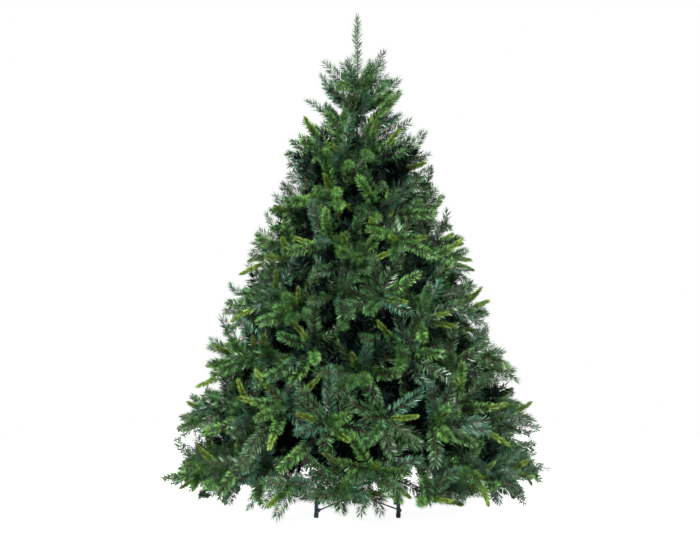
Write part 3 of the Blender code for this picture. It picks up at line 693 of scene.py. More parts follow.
def needle_arrays(sprays, look, rng):
    """Needles of one kind on many tips.

    Needle i of a tip stands at place s on the wire, turned by phi round it and leaning forward by an
    angle that falls from root to end. The wire is a twisted pair, so the needles crowd to the helix
    x = pitch (k + phi / pi). A needle is a kite folded along its length: a foot on the wire, two corners
    half way, and a point. Needles are shorter at both ends of the tip, and the last ones close over it.
    """
    count = look.count
    curves = np.array([[tuple(p) for p in spray.curve] for spray in sprays])
    share = np.array([spray.share for spray in sprays])
    size = np.array([spray.size for spray in sprays])[:, None]
    up = np.array([tuple(spray.up) for spray in sprays])
    total = int(count * max(1.0, share.max()))
    places = (np.arange(total) + rng.uniform(0.1, 0.9, (len(sprays), total))) / total
    kept = rng.uniform(0, 1, places.shape) < (share * count / total)[:, None]
    combed = math.pi * (np.arange(total) % 2) + rng.normal(0, COMB_SPREAD, places.shape)
    phi = np.where(rng.uniform(0, 1, places.shape) < look.flat, combed, rng.uniform(0, TAU, places.shape))
    rows = look.pitch / np.linalg.norm(curves[:, 2] - curves[:, 0], axis=-1)[:, None]
    row = np.round(places / rows - phi / math.pi)
    places = np.clip(places + ROW_CROWDING * ((row + phi / math.pi) * rows - places), 0, 1)
    points, along = on_curves(curves, places)
    up = unit(up[:, None] - along * (up[:, None] * along).sum(-1, keepdims=True))
    side = np.cross(along, up)
    around = side * np.cos(phi)[..., None] + up * np.sin(phi)[..., None]
    lean = look.lean_root + (look.lean_end - look.lean_root) * places
    lean = lean - END_CLOSING * np.clip((places - 0.93) / 0.07, 0, 1)
    lean = lean + rng.normal(0, LEAN_SPREAD, places.shape)
    way = along * np.cos(lean)[..., None] + around * np.sin(lean)[..., None]
    profile = np.minimum(1, 0.72 + 2.2 * places) * (1 - 0.30 * np.clip((places - 0.55) / 0.45, 0, 1) ** 1.5)
    length = (look.length * size * profile * rng.uniform(*LENGTH_RANGE, places.shape))[..., None]
    across = unit(np.cross(way, around + along * 0.35))
    twist = rng.normal(TWIST, TWIST_SPREAD, places.shape)[..., None]
    across = unit(across * np.cos(twist) + np.cross(way, across) * np.sin(twist))
    half = look.width / 2
    back = np.cross(way, across) * half * FOLD
    middle = points + way * length * WIDEST_AT - along * length * 0.03 - back
    tip = points + way * length + along * length * 0.06
    corners = np.stack([points, middle + across * half, middle - across * half, tip], axis=2)
    corners = corners[kept]
    number = np.arange(len(corners))[:, None, None] * 4
    faces = (number + np.array([[0, 1, 3], [0, 3, 2]])).reshape(-1, 3)
    shade = np.array([spray.shade for spray in sprays])[:, None] * np.ones(places.shape)
    shades = np.repeat(shade[kept], 2)
    row_tones = rng.normal(0, ROW_TONE, (len(sprays), ROW_TONES))
    row_tone = np.take_along_axis(row_tones, row.astype(int) % ROW_TONES, axis=1)[kept]
    tone = row_tone[:, None] + rng.normal(0, NEEDLE_TONE, (len(corners), 1))
    # run rises from root to end, shifted by each row's and needle's random tone; the film material turns it
    # into painted shade at the root and a painted highlight at the end
    run = (np.array([0.0, 0.5, 0.5, 1.0]) + tone).ravel()
    return (corners.reshape(-1, 3), faces), shades, run


def tube_arrays(curves, start_radius, end_radius, segments, sides, turns=None):
    """Round wires: circles whose radius falls evenly, carried along each curve, closed at both ends.

    With turns, a tape is wound round each wire that many times: its radius r at place s and angle t
    becomes r (1 + h max(0, sin(t - 2 pi s turns))), where h is the height of the wrap.
    """
    places = np.linspace(0, 1, segments + 1)[None].repeat(len(curves), 0)
    points, along = on_curves(curves, places)
    level = np.array([0.31, 0.17, 0.93])
    side = unit(np.cross(along, level))
    up = np.cross(along, side)
    turn = TAU * np.arange(sides) / sides
    radius = (start_radius[:, None] + (end_radius - start_radius)[:, None] * places)[..., None]
    if turns is not None:
        winding = turn - TAU * turns[:, None, None] * places[..., None]
        radius = radius * (1 + WRAP_HEIGHT * np.maximum(0, np.sin(winding)))
    ring = side[:, :, None] * np.cos(turn)[:, None] + up[:, :, None] * np.sin(turn)[:, None]
    skin = points[:, :, None] + ring * radius[..., None]
    ends = points[:, [0, -1]]
    vertices = np.concatenate([skin.reshape(len(curves), -1, 3), ends], axis=1)
    step = vertices.shape[1] * np.arange(len(curves))[:, None, None]
    return vertices.reshape(-1, 3), (tube_faces(segments, sides) + step).reshape(-1, 3)


def tube_faces(segments, sides):
    """Triangles of a closed tube of rings, with a fan at each end."""
    row = np.arange(segments)[:, None] * sides
    here = np.arange(sides)[None]
    after = (here + 1) % sides
    low, high = row + here, row + sides + here
    low_after, high_after = row + after, row + sides + after
    walls = np.stack([np.stack([low, low_after, high_after], -1), np.stack([low, high_after, high], -1)])
    first, last = (segments + 1) * sides, (segments + 1) * sides + 1
    here, after = here[0], after[0]
    start = np.stack([np.full(sides, first), after, here], -1)
    end = np.stack([np.full(sides, last), segments * sides + here, segments * sides + after], -1)
    return np.concatenate([walls.reshape(-1, 3), start, end])


def softened(profile, edge, steps=4):
    """The profile with each corner cut back by edge and bent through: (1-s)^2 a + 2s(1-s) b + s^2 c."""
    points = np.array(profile, float)
    rounded = [points[0]]
    for before, corner, after in zip(points, points[1:], points[2:]):
        ways = (before - corner, after - corner)
        first, last = (corner + way * min(edge / np.linalg.norm(way), 0.45) for way in ways)
        for part in np.linspace(0, 1, steps):
            rounded.append(first * (1 - part) ** 2 + corner * (2 * part * (1 - part)) + last * part**2)
    rounded.append(points[-1])
    return np.array(rounded)


def with_rows(profile, step):
    """The profile with points added, so that no stretch of it is longer than a step."""
    rows = [profile[:1]]
    for low, high in zip(profile, profile[1:]):
        count = math.ceil(np.linalg.norm(high - low) / step)
        rows.append(low + (high - low) * (np.arange(1, count + 1) / count)[:, None])
    return np.concatenate(rows)


def turned(profile, sides, relief=None):
    """A lathe shape: x = r cos t, y = r sin t and z, where r and z are the profile's, closed on the axis.

    The profile starts and ends on the axis. relief(t, z) is added to r, less of it nearer the axis.
    """
    turn = TAU * np.arange(sides) / sides
    radius, height = profile[1:-1, :1], profile[1:-1, 1:]
    if relief:
        radius = radius + relief(turn[None], height) * radius / radius.max()
    skin = np.stack([radius * np.cos(turn), radius * np.sin(turn), height * np.ones(sides)], -1)
    ends = np.array([[0, 0, profile[0, 1]], [0, 0, profile[-1, 1]]])
    return np.concatenate([skin.reshape(-1, 3), ends]), tube_faces(len(height) - 1, sides)


def swept(path, level, half_width, half_depth, sides):
    """A rod along a path in a plane: ovals, of a half width along level and a half depth across it."""
    along = unit(np.gradient(path, axis=0))
    level = np.array(level, float) * np.ones(path.shape)
    across = np.cross(along, level)
    turn = TAU * np.arange(sides) / sides
    wide = (np.cos(turn) * np.reshape(half_width * np.ones(len(path)), (-1, 1)))[..., None]
    deep = (np.sin(turn) * np.reshape(half_depth * np.ones(len(path)), (-1, 1)))[..., None]
    skin = path[:, None] + level[:, None] * wide + across[:, None] * deep
    return np.concatenate([skin.reshape(-1, 3), path[[0, -1]]]), tube_faces(len(path) - 1, sides)


def plate(outline, thickness, bevel):
    """A flat piece with a convex outline in the XZ plane and a bevelled rim, centred on Y.

    The outline runs from +Z towards +X.
    """
    centre = outline.mean(0)
    inset = centre + (outline - centre) * (1 - bevel / np.abs(outline - centre).max())
    half = thickness / 2
    rows = ((inset, -half), (outline, bevel - half), (outline, half - bevel), (inset, half))
    skin = [np.stack([row[:, 0], np.full(len(row), y), row[:, 1]], -1) for row, y in rows]
    ends = [[centre[0], -half, centre[1]], [centre[0], half, centre[1]]]
    return np.concatenate([*skin, ends]), tube_faces(3, len(outline))


def merged(shapes):
    """Several shapes, each as (vertices, faces), as one."""
    shapes = list(shapes)
    starts = np.cumsum([0] + [len(vertices) for vertices, _ in shapes])
    return (
        np.concatenate([vertices for vertices, _ in shapes]),
        np.concatenate([faces + start for (_, faces), start in zip(shapes, starts)]),
    )


def aimed(shape, origin, way):
    """A shape with its Z axis laid along a direction, and its zero moved to a point."""
    turn = np.array(Vector(way).to_track_quat("Z", "Y").to_matrix())
    return shape[0] @ turn.T + np.array(origin), shape[1]


def at_each_leg(shape):
    """A shape turned round the pole's axis, once for each leg."""
    azimuths = [math.radians(FIRST_LEG_DEG) + TAU * leg / LEG_COUNT for leg in range(LEG_COUNT)]
    turns = [np.array(Matrix.Rotation(azimuth, 3, "Z")) for azimuth in azimuths]
    return merged((shape[0] @ turn.T, shape[1]) for turn in turns)


def smooth_step(value):
    """0 up to 0, 1 from 1 on, and 3 v^2 - 2 v^3 between them."""
    value = np.clip(value, 0, 1)
    return value * value * (3 - 2 * value)


def round_end(past):
    """Width of an eye's round end at a distance past the eye's middle, as a share: sqrt(1 - (d / r)^2)."""
    return np.sqrt(np.clip(1 - (np.maximum(past, 0) / (EYE_RADIUS * 1.001)) ** 2, 0, 1))


def rivet(length):
    """A rivet along Z: a shank between two domed heads, its middle at zero."""
    half = length / 2
    dome = [
        (RIVET_HEAD_RADIUS * math.cos(angle), half + RIVET_HEAD_HEIGHT * math.sin(angle))
        for angle in np.linspace(0, math.pi / 2, 6)
    ]
    low = [(radius, -height) for radius, height in reversed(dome)]
    return turned(np.array([*low, (RIVET_RADIUS, -half), (RIVET_RADIUS, half), *dome]), 20)


def set_inputs(tree, sockets, inputs):
    """Each input gets its value, or a link where the value is another node's output."""
    for name, value in inputs.items():
        if isinstance(value, bpy.types.NodeSocket):
            tree.links.new(value, sockets[name])
        else:
            sockets[name].default_value = value


def add_node(tree, kind, inputs=None, **settings):
    """Adds a shader node with its settings and inputs, and gives back its outputs."""
    node = tree.nodes.new("ShaderNode" + kind)
    for name, value in settings.items():
        setattr(node, name, value)
    set_inputs(tree, node.inputs, inputs or {})
    return node.outputs


def new_group(name, inputs, outputs):
    """An empty shader node group. A socket with Colour in its name holds a colour, any other a number."""
    group = bpy.data.node_groups.new(name, "ShaderNodeTree")
    for direction, labels in (("INPUT", inputs), ("OUTPUT", outputs)):
        for label in labels:
            kind = "NodeSocketColor" if "Colour" in label else "NodeSocketFloat"
            group.interface.new_socket(name=label, in_out=direction, socket_type=kind)
    return group, group.nodes.new("NodeGroupInput").outputs, group.nodes.new("NodeGroupOutput").inputs


def film_tint_and_painted_light_group():
    """Colour of cut film: darker at the needle's root, paler at its end, and uneven from place to place."""
    found = bpy.data.node_groups.get("Film Tint")
    if found:
        return found
    inputs = ("Colour", "Run", "Root Shade", "End Shade", "Patch Size")
    group, start, end = new_group("Film Tint", inputs, ("Colour", "Roughness"))
    place = add_node(group, "TexCoord")["Object"]
    noise = add_node(group, "TexNoise", {"Vector": place, "Scale": start["Patch Size"], "Detail": 2})["Fac"]
    # Painted shade at the needle's root and painted highlight at its end, from the run
    run = {"Value": start["Run"], "To Min": start["Root Shade"], "To Max": start["End Shade"]}
    run = add_node(group, "MapRange", run, clamp=False)["Result"]
    patch = {"Value": noise, "From Min": 0.3, "From Max": 0.7, "To Min": 0.80, "To Max": 1.20}
    patch = add_node(group, "MapRange", patch)["Result"]
    lit = add_node(group, "Math", {0: run, 1: 0.05}, operation="MAXIMUM")["Value"]
    both = add_node(group, "Math", {0: lit, 1: patch}, operation="MULTIPLY")["Value"]
    tint_and_painted_light = add_node(group, "VectorMath", {0: start["Colour"], "Scale": both}, operation="SCALE")["Vector"]
    rough = add_node(group, "MapRange", {"Value": noise, "To Min": 0.24, "To Max": 0.44})["Result"]
    set_inputs(group, end, {"Colour": tint_and_painted_light, "Roughness": rough})
    return group


def paint_group():
    """Painted or moulded surface: a faint orange peel, and dull scuffs here and there."""
    found = bpy.data.node_groups.get("Paint Coat")
    if found:
        return found
    inputs = ("Colour", "Scuff Colour", "Scuffs", "Peel Size", "Smooth")
    group, start, end = new_group("Paint Coat", inputs, ("Colour", "Roughness", "Height"))
    place = add_node(group, "TexCoord")["Object"]
    scuff = add_node(group, "TexNoise", {"Vector": place, "Scale": 55, "Detail": 6})["Fac"]
    peel = add_node(group, "TexNoise", {"Vector": place, "Scale": start["Peel Size"]})["Fac"]
    mask = add_node(group, "MapRange", {"Value": scuff, "From Min": 0.60, "From Max": 0.72})["Result"]
    amount = add_node(group, "Math", {0: mask, 1: start["Scuffs"]}, operation="MULTIPLY")["Value"]
    mix = {"Factor": amount, "A": start["Colour"], "B": start["Scuff Colour"]}
    mix = add_node(group, "Mix", mix, data_type="RGBA")["Result"]
    rough = {0: amount, 1: 0.3, 2: start["Smooth"]}
    rough = add_node(group, "Math", rough, operation="MULTIPLY_ADD")["Value"]
    set_inputs(group, end, {"Colour": mix, "Roughness": rough, "Height": peel})
    return group


def new_material(name, colour):
    """A material with its node tree and its Principled BSDF."""
    material = bpy.data.materials.new(name)
    material.use_nodes = True
    material.diffuse_color = (*colour, 1)
    return material, material.node_tree, material.node_tree.nodes["Principled BSDF"].inputs


def film_material(name, colour, look):
    """Cut plastic film. Its needles carry the attribute run, from 0 at the root to 1 at the end."""
    material, tree, shader = new_material(name, colour)
    run = add_node(tree, "Attribute", attribute_name="run")["Fac"]
    tint_and_painted_light = add_node(tree, "Group", {
        "Colour": (*colour, 1), "Run": run, "Root Shade": look.root_shade, "End Shade": look.end_shade,
        "Patch Size": 22,
    }, node_tree=film_tint_and_painted_light_group())
    set_inputs(tree, shader, {
        "Base Color": tint_and_painted_light["Colour"], "Roughness": tint_and_painted_light["Roughness"],
        "Specular IOR Level": look.shine, "Specular Tint": FILM_REFLECTION,
    })
    return material


def paint_material(name, colour, scuff_colour, scuffs, smooth, metallic=0, peel_size=900, bump=0.05):
    """Paint on steel, or moulded plastic, with the shared coat group."""
    material, tree, shader = new_material(name, colour)
    coat = add_node(tree, "Group", {
        "Colour": (*colour, 1), "Scuff Colour": (*scuff_colour, 1), "Scuffs": scuffs, "Peel Size": peel_size,
        "Smooth": smooth,
    }, node_tree=paint_group())
    relief = add_node(tree, "Bump", {"Strength": bump, "Distance": 0.001, "Height": coat["Height"]})["Normal"]
    set_inputs(tree, shader, {
        "Base Color": coat["Colour"], "Roughness": coat["Roughness"], "Metallic": metallic, "Normal": relief,
    })
    return material


def floor_material(glow):
    """Pale studio paper, lit up a little for the camera only, so that the shadow on it stays faint.

    What it throws back up into the tree is that of a greyer floor.
    """
    material = paint_material(
        "floor_paper", (0.84, 0.84, 0.84), (0.82, 0.82, 0.82), scuffs=0.5, smooth=0.8
    )
    tree = material.node_tree
    shader = tree.nodes["Principled BSDF"].inputs
    seen = add_node(tree, "LightPath")["Is Camera Ray"]
    paper = {"Factor": seen, "A": (*GREY_FLOOR, 1), "B": shader["Base Color"].links[0].from_socket}
    set_inputs(tree, shader, {
        "Base Color": add_node(tree, "Mix", paper, data_type="RGBA")["Result"],
        "Emission Color": (1, 1, 1, 1),
        "Emission Strength": add_node(tree, "Math", {0: seen, 1: glow}, operation="MULTIPLY")["Value"],
    })
    return material


class TREE_OT_needles(bpy.types.Operator):
    """Build every needle, in pieces by kind and by zone of the tree"""

    bl_idname = "christmas_tree.needles"
    bl_label = "Needles"

    def execute(self, context):
        growth = grow_tree()
        for kind in NEEDLES:
            look = getattr(context.scene, f"tree_{kind}")
            materials = [
                film_material(f"{kind}_film_{number}", tuple(getattr(look, f"colour_{number}")), look)
                for number in range(1, SHADES + 1)
            ]
            for order, zone in enumerate(ZONES):
                sprays = [spray for spray in growth.sprays if spray.kind == kind and spray.zone == zone]
                rng = np.random.default_rng([SEED, order, len(sprays)])
                shape, shades, run = needle_arrays(sprays, look, rng)
                name = f"needles_{kind}_{zone}"
                new_piece(name, shape, materials, nodes_of(zone), "foliage", shades, smooth=False, run=run)
        return {"FINISHED"}


class TREE_OT_wires(bpy.types.Operator):
    """Build the tips' brown wires and the branchlets that carry them"""

    bl_idname = "christmas_tree.wires"
    bl_label = "Wires"

    ROWS = 4
    SIDES = 3

    def execute(self, context):
        growth = grow_tree()
        look = context.scene.tree_wires
        brown, wrap = tuple(look.wire_colour), tuple(look.wrap_colour)
        materials = [
            paint_material("brown_wire", brown, tuple(0.5 * part for part in brown), scuffs=0.8, smooth=0.6),
            paint_material("wrapped_wire", wrap, tuple(1.4 * part for part in wrap), scuffs=0.8, smooth=0.6),
        ]
        for zone in ZONES:
            wires = [wire for wire in growth.wires if wire.zone == zone]
            curves = np.array([[tuple(p) for p in wire.curve] for wire in wires])
            start = look.tip_radius * np.array([wire.start_radius for wire in wires])
            end = look.tip_radius * np.array([wire.end_radius for wire in wires])
            shape = tube_arrays(curves, start, end, self.ROWS, self.SIDES)
            wrapped = np.repeat([wire.wrapped for wire in wires], len(shape[1]) // len(wires))
            new_piece(f"wires_{zone}", shape, materials, nodes_of(zone), "foliage", wrapped)
        return {"FINISHED"}


class TREE_OT_boughs(bpy.types.Operator):
    """Build the wrapped boughs that hang in the pole's brackets"""

    bl_idname = "christmas_tree.boughs"
    bl_label = "Boughs"

    ROWS = 110
    SIDES = 7

    def execute(self, context):
        look = context.scene.tree_wires
        wrap = tuple(look.wrap_colour)
        worn = tuple(1.6 * part for part in wrap)
        material = paint_material("bough_wrap", wrap, worn, scuffs=0.8, smooth=0.65, peel_size=400, bump=0.3)
        curves, start, turns, nodes = [], [], [], []
        for tier, count in enumerate(BOUGHS_IN_TIER):
            bare = tier < TIERS_WITH_BARE_BOUGHS
            reach = STEM_END_SHARE * crown_radius(tip_height(tier))
            for spoke in range(count):
                azimuth = bough_azimuth(tier, spoke)
                first, last = (on_stem(tier, azimuth, distance) for distance in (BRACKET_WAIST, reach))
                curves.append([tuple(first), tuple(first.lerp(last, 0.5)), tuple(last)])
                start.append(BOUGH_RADIUS if bare else STEM_RADIUS)
                turns.append((last - first).length / WRAP_PITCH)
                if bare:
                    nodes.append(f"bough_tier_{tier + 1}_{spoke + 1}")
        end = np.full(len(curves), STEM_TIP_RADIUS)
        curves, start, turns = (np.array(values) for values in (curves, start, turns))
        shape = tube_arrays(curves, start, end, self.ROWS, self.SIDES, turns)
        new_piece("wrapped_boughs", shape, [material], nodes, "bough")
        return {"FINISHED"}


class TREE_OT_pole(bpy.types.Operator):
    """Build the pole with its sleeves, and the bracket of each tier with its sockets and pins"""

    bl_idname = "christmas_tree.pole"
    bl_label = "Pole"

    SEAM_AZIMUTH = 2.2
    SEAM_HEIGHT = 0.00035
    SEAM_WIDTH = 0.06
    ROLLING = 0.00012
    SHOULDER = 0.0012
    PLATE_EDGE = 0.0007
    PIN_HEAD = 0.001

    def relief(self, turn, height):
        """The tube's weld seam, a h exp(-(t - t0)^2 / w^2) ridge, over faint waves from rolling."""
        off_seam = (turn - self.SEAM_AZIMUTH) / self.SEAM_WIDTH
        return self.SEAM_HEIGHT * np.exp(-(off_seam**2)) + self.ROLLING * np.sin(2 * turn + 31 * height)

    def pole(self):
        """The tube's sections, each with a rolled shoulder where it enters the next one's sleeve."""
        profile = [(0, POLE_FOOT)]
        foot = POLE_FOOT
        for radius, top in POLE_SECTIONS:
            profile += [(radius, foot), (radius, top)]
            if top < TOP_BRACKET:
                foot = top + SLEEVE_LENGTH
                profile += [(radius + SLEEVE_WALL, top), (radius + SLEEVE_WALL, foot)]
        profile.append((0, TOP_BRACKET))
        return turned(with_rows(softened(profile, self.SHOULDER), 0.012), 56, self.relief)

    def bracket(self, tier):
        """Two plates round a waist, with a socket and a hinge pin between them for each bough."""
        middle = bracket_height(tier)
        half = BRACKET_HEIGHT / 2
        pole = min(radius for radius, top in POLE_SECTIONS if middle - half < top) + 0.0002
        low, high = middle - half, middle + half
        profile = [
            (pole, low), (BRACKET_RADIUS, low), (BRACKET_RADIUS, low + BRACKET_PLATE),
            (BRACKET_WAIST, low + BRACKET_PLATE), (BRACKET_WAIST, high - BRACKET_PLATE),
            (BRACKET_RADIUS, high - BRACKET_PLATE), (BRACKET_RADIUS, high), (pole, high),
        ]
        shapes = [turned(np.array([(0, low), *softened(profile, self.PLATE_EDGE, 3), (0, high)]), 40)]
        head, foot, top = 1.5 * PIN_RADIUS, low - self.PIN_HEAD, high + self.PIN_HEAD
        pin = [(0, foot), (head, foot), (head, low), (PIN_RADIUS, low),
               (PIN_RADIUS, high), (head, high), (head, top), (0, top)]
        vertices, faces = turned(np.array(pin), 10)
        for spoke in range(BOUGHS_IN_TIER[tier]):
            place = at(bough_azimuth(tier, spoke), BRACKET_RADIUS - 2.2 * PIN_RADIUS, 0)
            shapes.append((vertices + tuple(place), faces))
        return merged(shapes)

    def execute(self, context):
        paint = tuple(context.scene.tree_wires.pole_colour)
        material = paint_material(
            "pole_paint", paint, (0.05, 0.08, 0.06), scuffs=0.5, smooth=0.35, metallic=0.2
        )
        new_piece("pole", self.pole(), [material], ["trunk_pole"], "pole")
        material = paint_material(
            "bracket_paint", paint, (0.09, 0.11, 0.10), scuffs=0.8, smooth=0.40, metallic=0.3,
            peel_size=600, bump=0.1,
        )
        brackets = merged(self.bracket(tier) for tier in range(TIERS))
        new_piece("pole_brackets", brackets, [material], ["trunk_pole"], "pole")
        return {"FINISHED"}


class TREE_OT_stand(bpy.types.Operator):
    """Build the folding stand: socket, legs, braces, rivets, foot caps and clamp screw"""

    bl_idname = "christmas_tree.stand"
    bl_label = "Stand"

    LEVEL = (0, 1, 0)
    SHARP_ANGLE_DEG = 40
    SOCKET_EDGE = 0.0012
    EAR_EDGE = 0.0005
    CAP_EDGE = 0.0009
    CAP_RIM = 0.003
    RIDGE_DEPTH = 0.00022
    RIDGES = 12
    THREAD_DEPTH = 0.0003
    LOBE_HEIGHT = 0.0007
    LOBES = 12
    GRIP_HALF_HEIGHT = 0.002

    # A leg is pressed flat from this far before its rivet, over this length
    PRESSED_FROM = 0.032
    PRESSED_OVER = 0.018

    def socket(self):
        """The tube that the pole stands in, with two collars and a pair of ears for each leg and brace."""
        inner = POLE_SECTIONS[0][0] + FIT_GAP
        outer = inner + HUB_WALL
        profile = [(0, HUB_FOOT), (outer, HUB_FOOT)]
        for _, height in (BRACE_PIVOT, LEG_PIVOT):
            low, high = height - COLLAR_HEIGHT / 2, height + COLLAR_HEIGHT / 2
            profile += [(outer, low), (COLLAR_RADIUS, low), (COLLAR_RADIUS, high), (outer, high)]
        seat = POLE_FOOT - FIT_GAP
        profile += [(outer, HUB_TOP), (inner, HUB_TOP), (inner, seat), (0, seat)]
        shapes = [turned(softened(profile, self.SOCKET_EDGE), 64)]
        aside = TONGUE_THICKNESS / 2 + FIT_GAP + EAR_THICKNESS / 2
        for distance, height in (LEG_PIVOT, BRACE_PIVOT):
            angle = np.linspace(math.pi / 2, -math.pi / 2, 13)
            half, weld = EAR_HEIGHT / 2, outer + 0.001
            nose = np.stack([distance + EAR_REACH * np.cos(angle), height + half * np.sin(angle)], -1)
            back = [(weld, height - half), (weld, height + half)]
            vertices, faces = plate(np.concatenate([back, nose]), EAR_THICKNESS, self.EAR_EDGE)
            shapes += [at_each_leg((vertices + (0, side * aside, 0), faces)) for side in (-1, 1)]
        return merged(shapes)

    def leg(self):
        """A tube with an upright foot, a bend, and a slant whose end is pressed flat round its rivet."""
        across = FOOT_DISTANCE - LEG_BEND_RADIUS - LEG_PIVOT[0]
        rise = LEG_PIVOT[1] - LEG_BEND_START
        bend = math.atan2(across, rise) + math.asin(LEG_BEND_RADIUS / math.hypot(across, rise))
        angle = np.linspace(0, bend, 25)
        bow = [FOOT_DISTANCE - LEG_BEND_RADIUS * (1 - np.cos(angle)), 0 * angle,
               LEG_BEND_START + LEG_BEND_RADIUS * np.sin(angle)]
        bow = np.stack(bow, -1)
        pivot = np.array([LEG_PIVOT[0], 0, LEG_PIVOT[1]])
        slant = unit(pivot - bow[-1])
        run = np.linalg.norm(pivot - bow[-1])
        along = [np.linspace(0.08 * run, run - 0.035, 8), run + np.linspace(-0.03, EYE_RADIUS, 24)]
        along = np.concatenate(along)[:, None]
        path = np.concatenate([[[FOOT_DISTANCE, 0, CAP_FLOOR + FIT_GAP]], bow, bow[-1] + along * slant])
        past = (path - pivot) @ slant
        pressed = smooth_step((past + self.PRESSED_FROM) / self.PRESSED_OVER)
        flat = LEG_RADIUS + (TONGUE_THICKNESS / 2 - LEG_RADIUS) * pressed
        wide = (LEG_RADIUS + (EYE_RADIUS - LEG_RADIUS) * pressed) * round_end(past)
        return swept(path, self.LEVEL, flat, wide, 28)

    def brace(self):
        """A rod with both ends pressed flat into an eye."""
        inner = np.array([BRACE_PIVOT[0], 0, BRACE_PIVOT[1]])
        outer = np.array([FOOT_DISTANCE, LEG_RADIUS + FIT_GAP + BRACE_EYE_THICKNESS / 2, BRACE_FOOT_HEIGHT])
        run = np.linalg.norm(outer - inner)
        end = np.linspace(-EYE_RADIUS, 2.4 * EYE_RADIUS, 26)
        along = np.concatenate([end, np.linspace(0.15 * run, 0.85 * run, 6), run - end[::-1]])
        path = inner + along[:, None] * unit(outer - inner)
        beyond = np.minimum(along, run - along)
        pressed = smooth_step((2.2 * EYE_RADIUS - beyond) / (1.4 * EYE_RADIUS))
        flat = BRACE_RADIUS + (BRACE_EYE_THICKNESS / 2 - BRACE_RADIUS) * pressed
        wide = (BRACE_RADIUS + (EYE_RADIUS - BRACE_RADIUS) * pressed) * round_end(-beyond)
        return swept(path, self.LEVEL, flat, wide, 20)

    def rivets(self):
        """Rivets through the ears for legs and braces, and through the brace's eye into the leg's foot."""
        through = TONGUE_THICKNESS + 2 * FIT_GAP + 2 * EAR_THICKNESS
        shapes = [aimed(rivet(through), (x, 0, z), self.LEVEL) for x, z in (LEG_PIVOT, BRACE_PIVOT)]
        seat = LEG_RADIUS + 2 * FIT_GAP + BRACE_EYE_THICKNESS
        shapes.append(aimed(rivet(seat), (FOOT_DISTANCE, seat / 2, BRACE_FOOT_HEIGHT), self.LEVEL))
        return at_each_leg(merged(shapes))

    def cap(self):
        """A moulded cup with a rolled rim and a ridged side."""
        inner, rim = LEG_RADIUS + FIT_GAP, CAP_HEIGHT - self.CAP_RIM
        profile = [(0, 0), (CAP_RADIUS - 0.0012, 0), (CAP_RADIUS - 0.0004, rim), (CAP_RADIUS, rim),
                   (CAP_RADIUS, CAP_HEIGHT), (inner, CAP_HEIGHT), (inner, CAP_FLOOR), (0, CAP_FLOOR)]

        def ridges(turn, height):
            """Grooves between the ridges, from 1 mm over the floor to 1 mm under the rim."""
            side = (height < rim - 0.001) * (height > 0.001)
            return -self.RIDGE_DEPTH * (np.sin(self.RIDGES * turn) > 0.3) * side

        vertices, faces = turned(softened(profile, self.CAP_EDGE), 72, ridges)
        return vertices + (FOOT_DISTANCE, 0, 0), faces

    def screw(self):
        """The clamp screw: a threaded shank, r + h sin(2 pi z / pitch - t), and a lobed thumb grip."""
        start = POLE_SECTIONS[0][0] + FIT_GAP
        core = SCREW_RADIUS - self.THREAD_DEPTH
        shank = softened([(0, start), (core, start), (core, SCREW_REACH), (0, SCREW_REACH)], 0.0006, 3)
        shank = with_rows(shank, SCREW_PITCH / 6)

        def thread(turn, height):
            return self.THREAD_DEPTH * np.sin(TAU * height / SCREW_PITCH - turn)

        def lobes(turn, height):
            return self.LOBE_HEIGHT * np.cos(self.LOBES * turn)

        edge, half = SCREW_HEAD_RADIUS - self.LOBE_HEIGHT, self.GRIP_HALF_HEIGHT
        grip = with_rows(softened([(0, -half), (edge, -half), (edge, half), (0, half)], 0.0012), 0.003)
        grip_place = (SCREW_REACH + SCREW_HEAD_RADIUS * 0.8, 0, SCREW_HEIGHT)
        return merged((
            aimed(turned(shank, 24, thread), (0, 0, SCREW_HEIGHT), (1, 0, 0)),
            aimed(turned(grip, 96, lobes), grip_place, (0, 0, 1)),
        ))

    def execute(self, context):
        look = context.scene.tree_stand
        paint, moulded = tuple(look.paint), tuple(look.caps)
        steel = paint_material(
            "stand_paint", paint, (0.16, 0.21, 0.23), scuffs=0.6, smooth=0.32, metallic=0.15
        )
        plastic = paint_material(
            "cap_plastic", moulded, (0.06, 0.07, 0.07), scuffs=0.6, smooth=0.45, peel_size=500, bump=0.1
        )
        legs, braces, caps = (
            [f"{part}_{number + 1}" for number in range(LEG_COUNT)] for part in ("leg", "brace", "foot_cap")
        )
        shapes = {
            "stand_socket": (self.socket(), steel, "stand", ["stand_hub"]),
            "stand_legs": (at_each_leg(self.leg()), steel, "stand", legs),
            "stand_braces": (at_each_leg(self.brace()), steel, "stand", braces),
            "stand_rivets": (self.rivets(), steel, "stand", ["stand_hub", *legs]),
            "stand_caps": (at_each_leg(self.cap()), plastic, "caps", caps),
            "stand_screw": (self.screw(), plastic, "caps", ["clamp_screw"]),
        }
        for name, (shape, finish, slot, nodes) in shapes.items():
            piece = new_piece(name, shape, [finish], nodes, slot)
            piece.data.set_sharp_from_angle(angle=math.radians(self.SHARP_ANGLE_DEG))
        return {"FINISHED"}


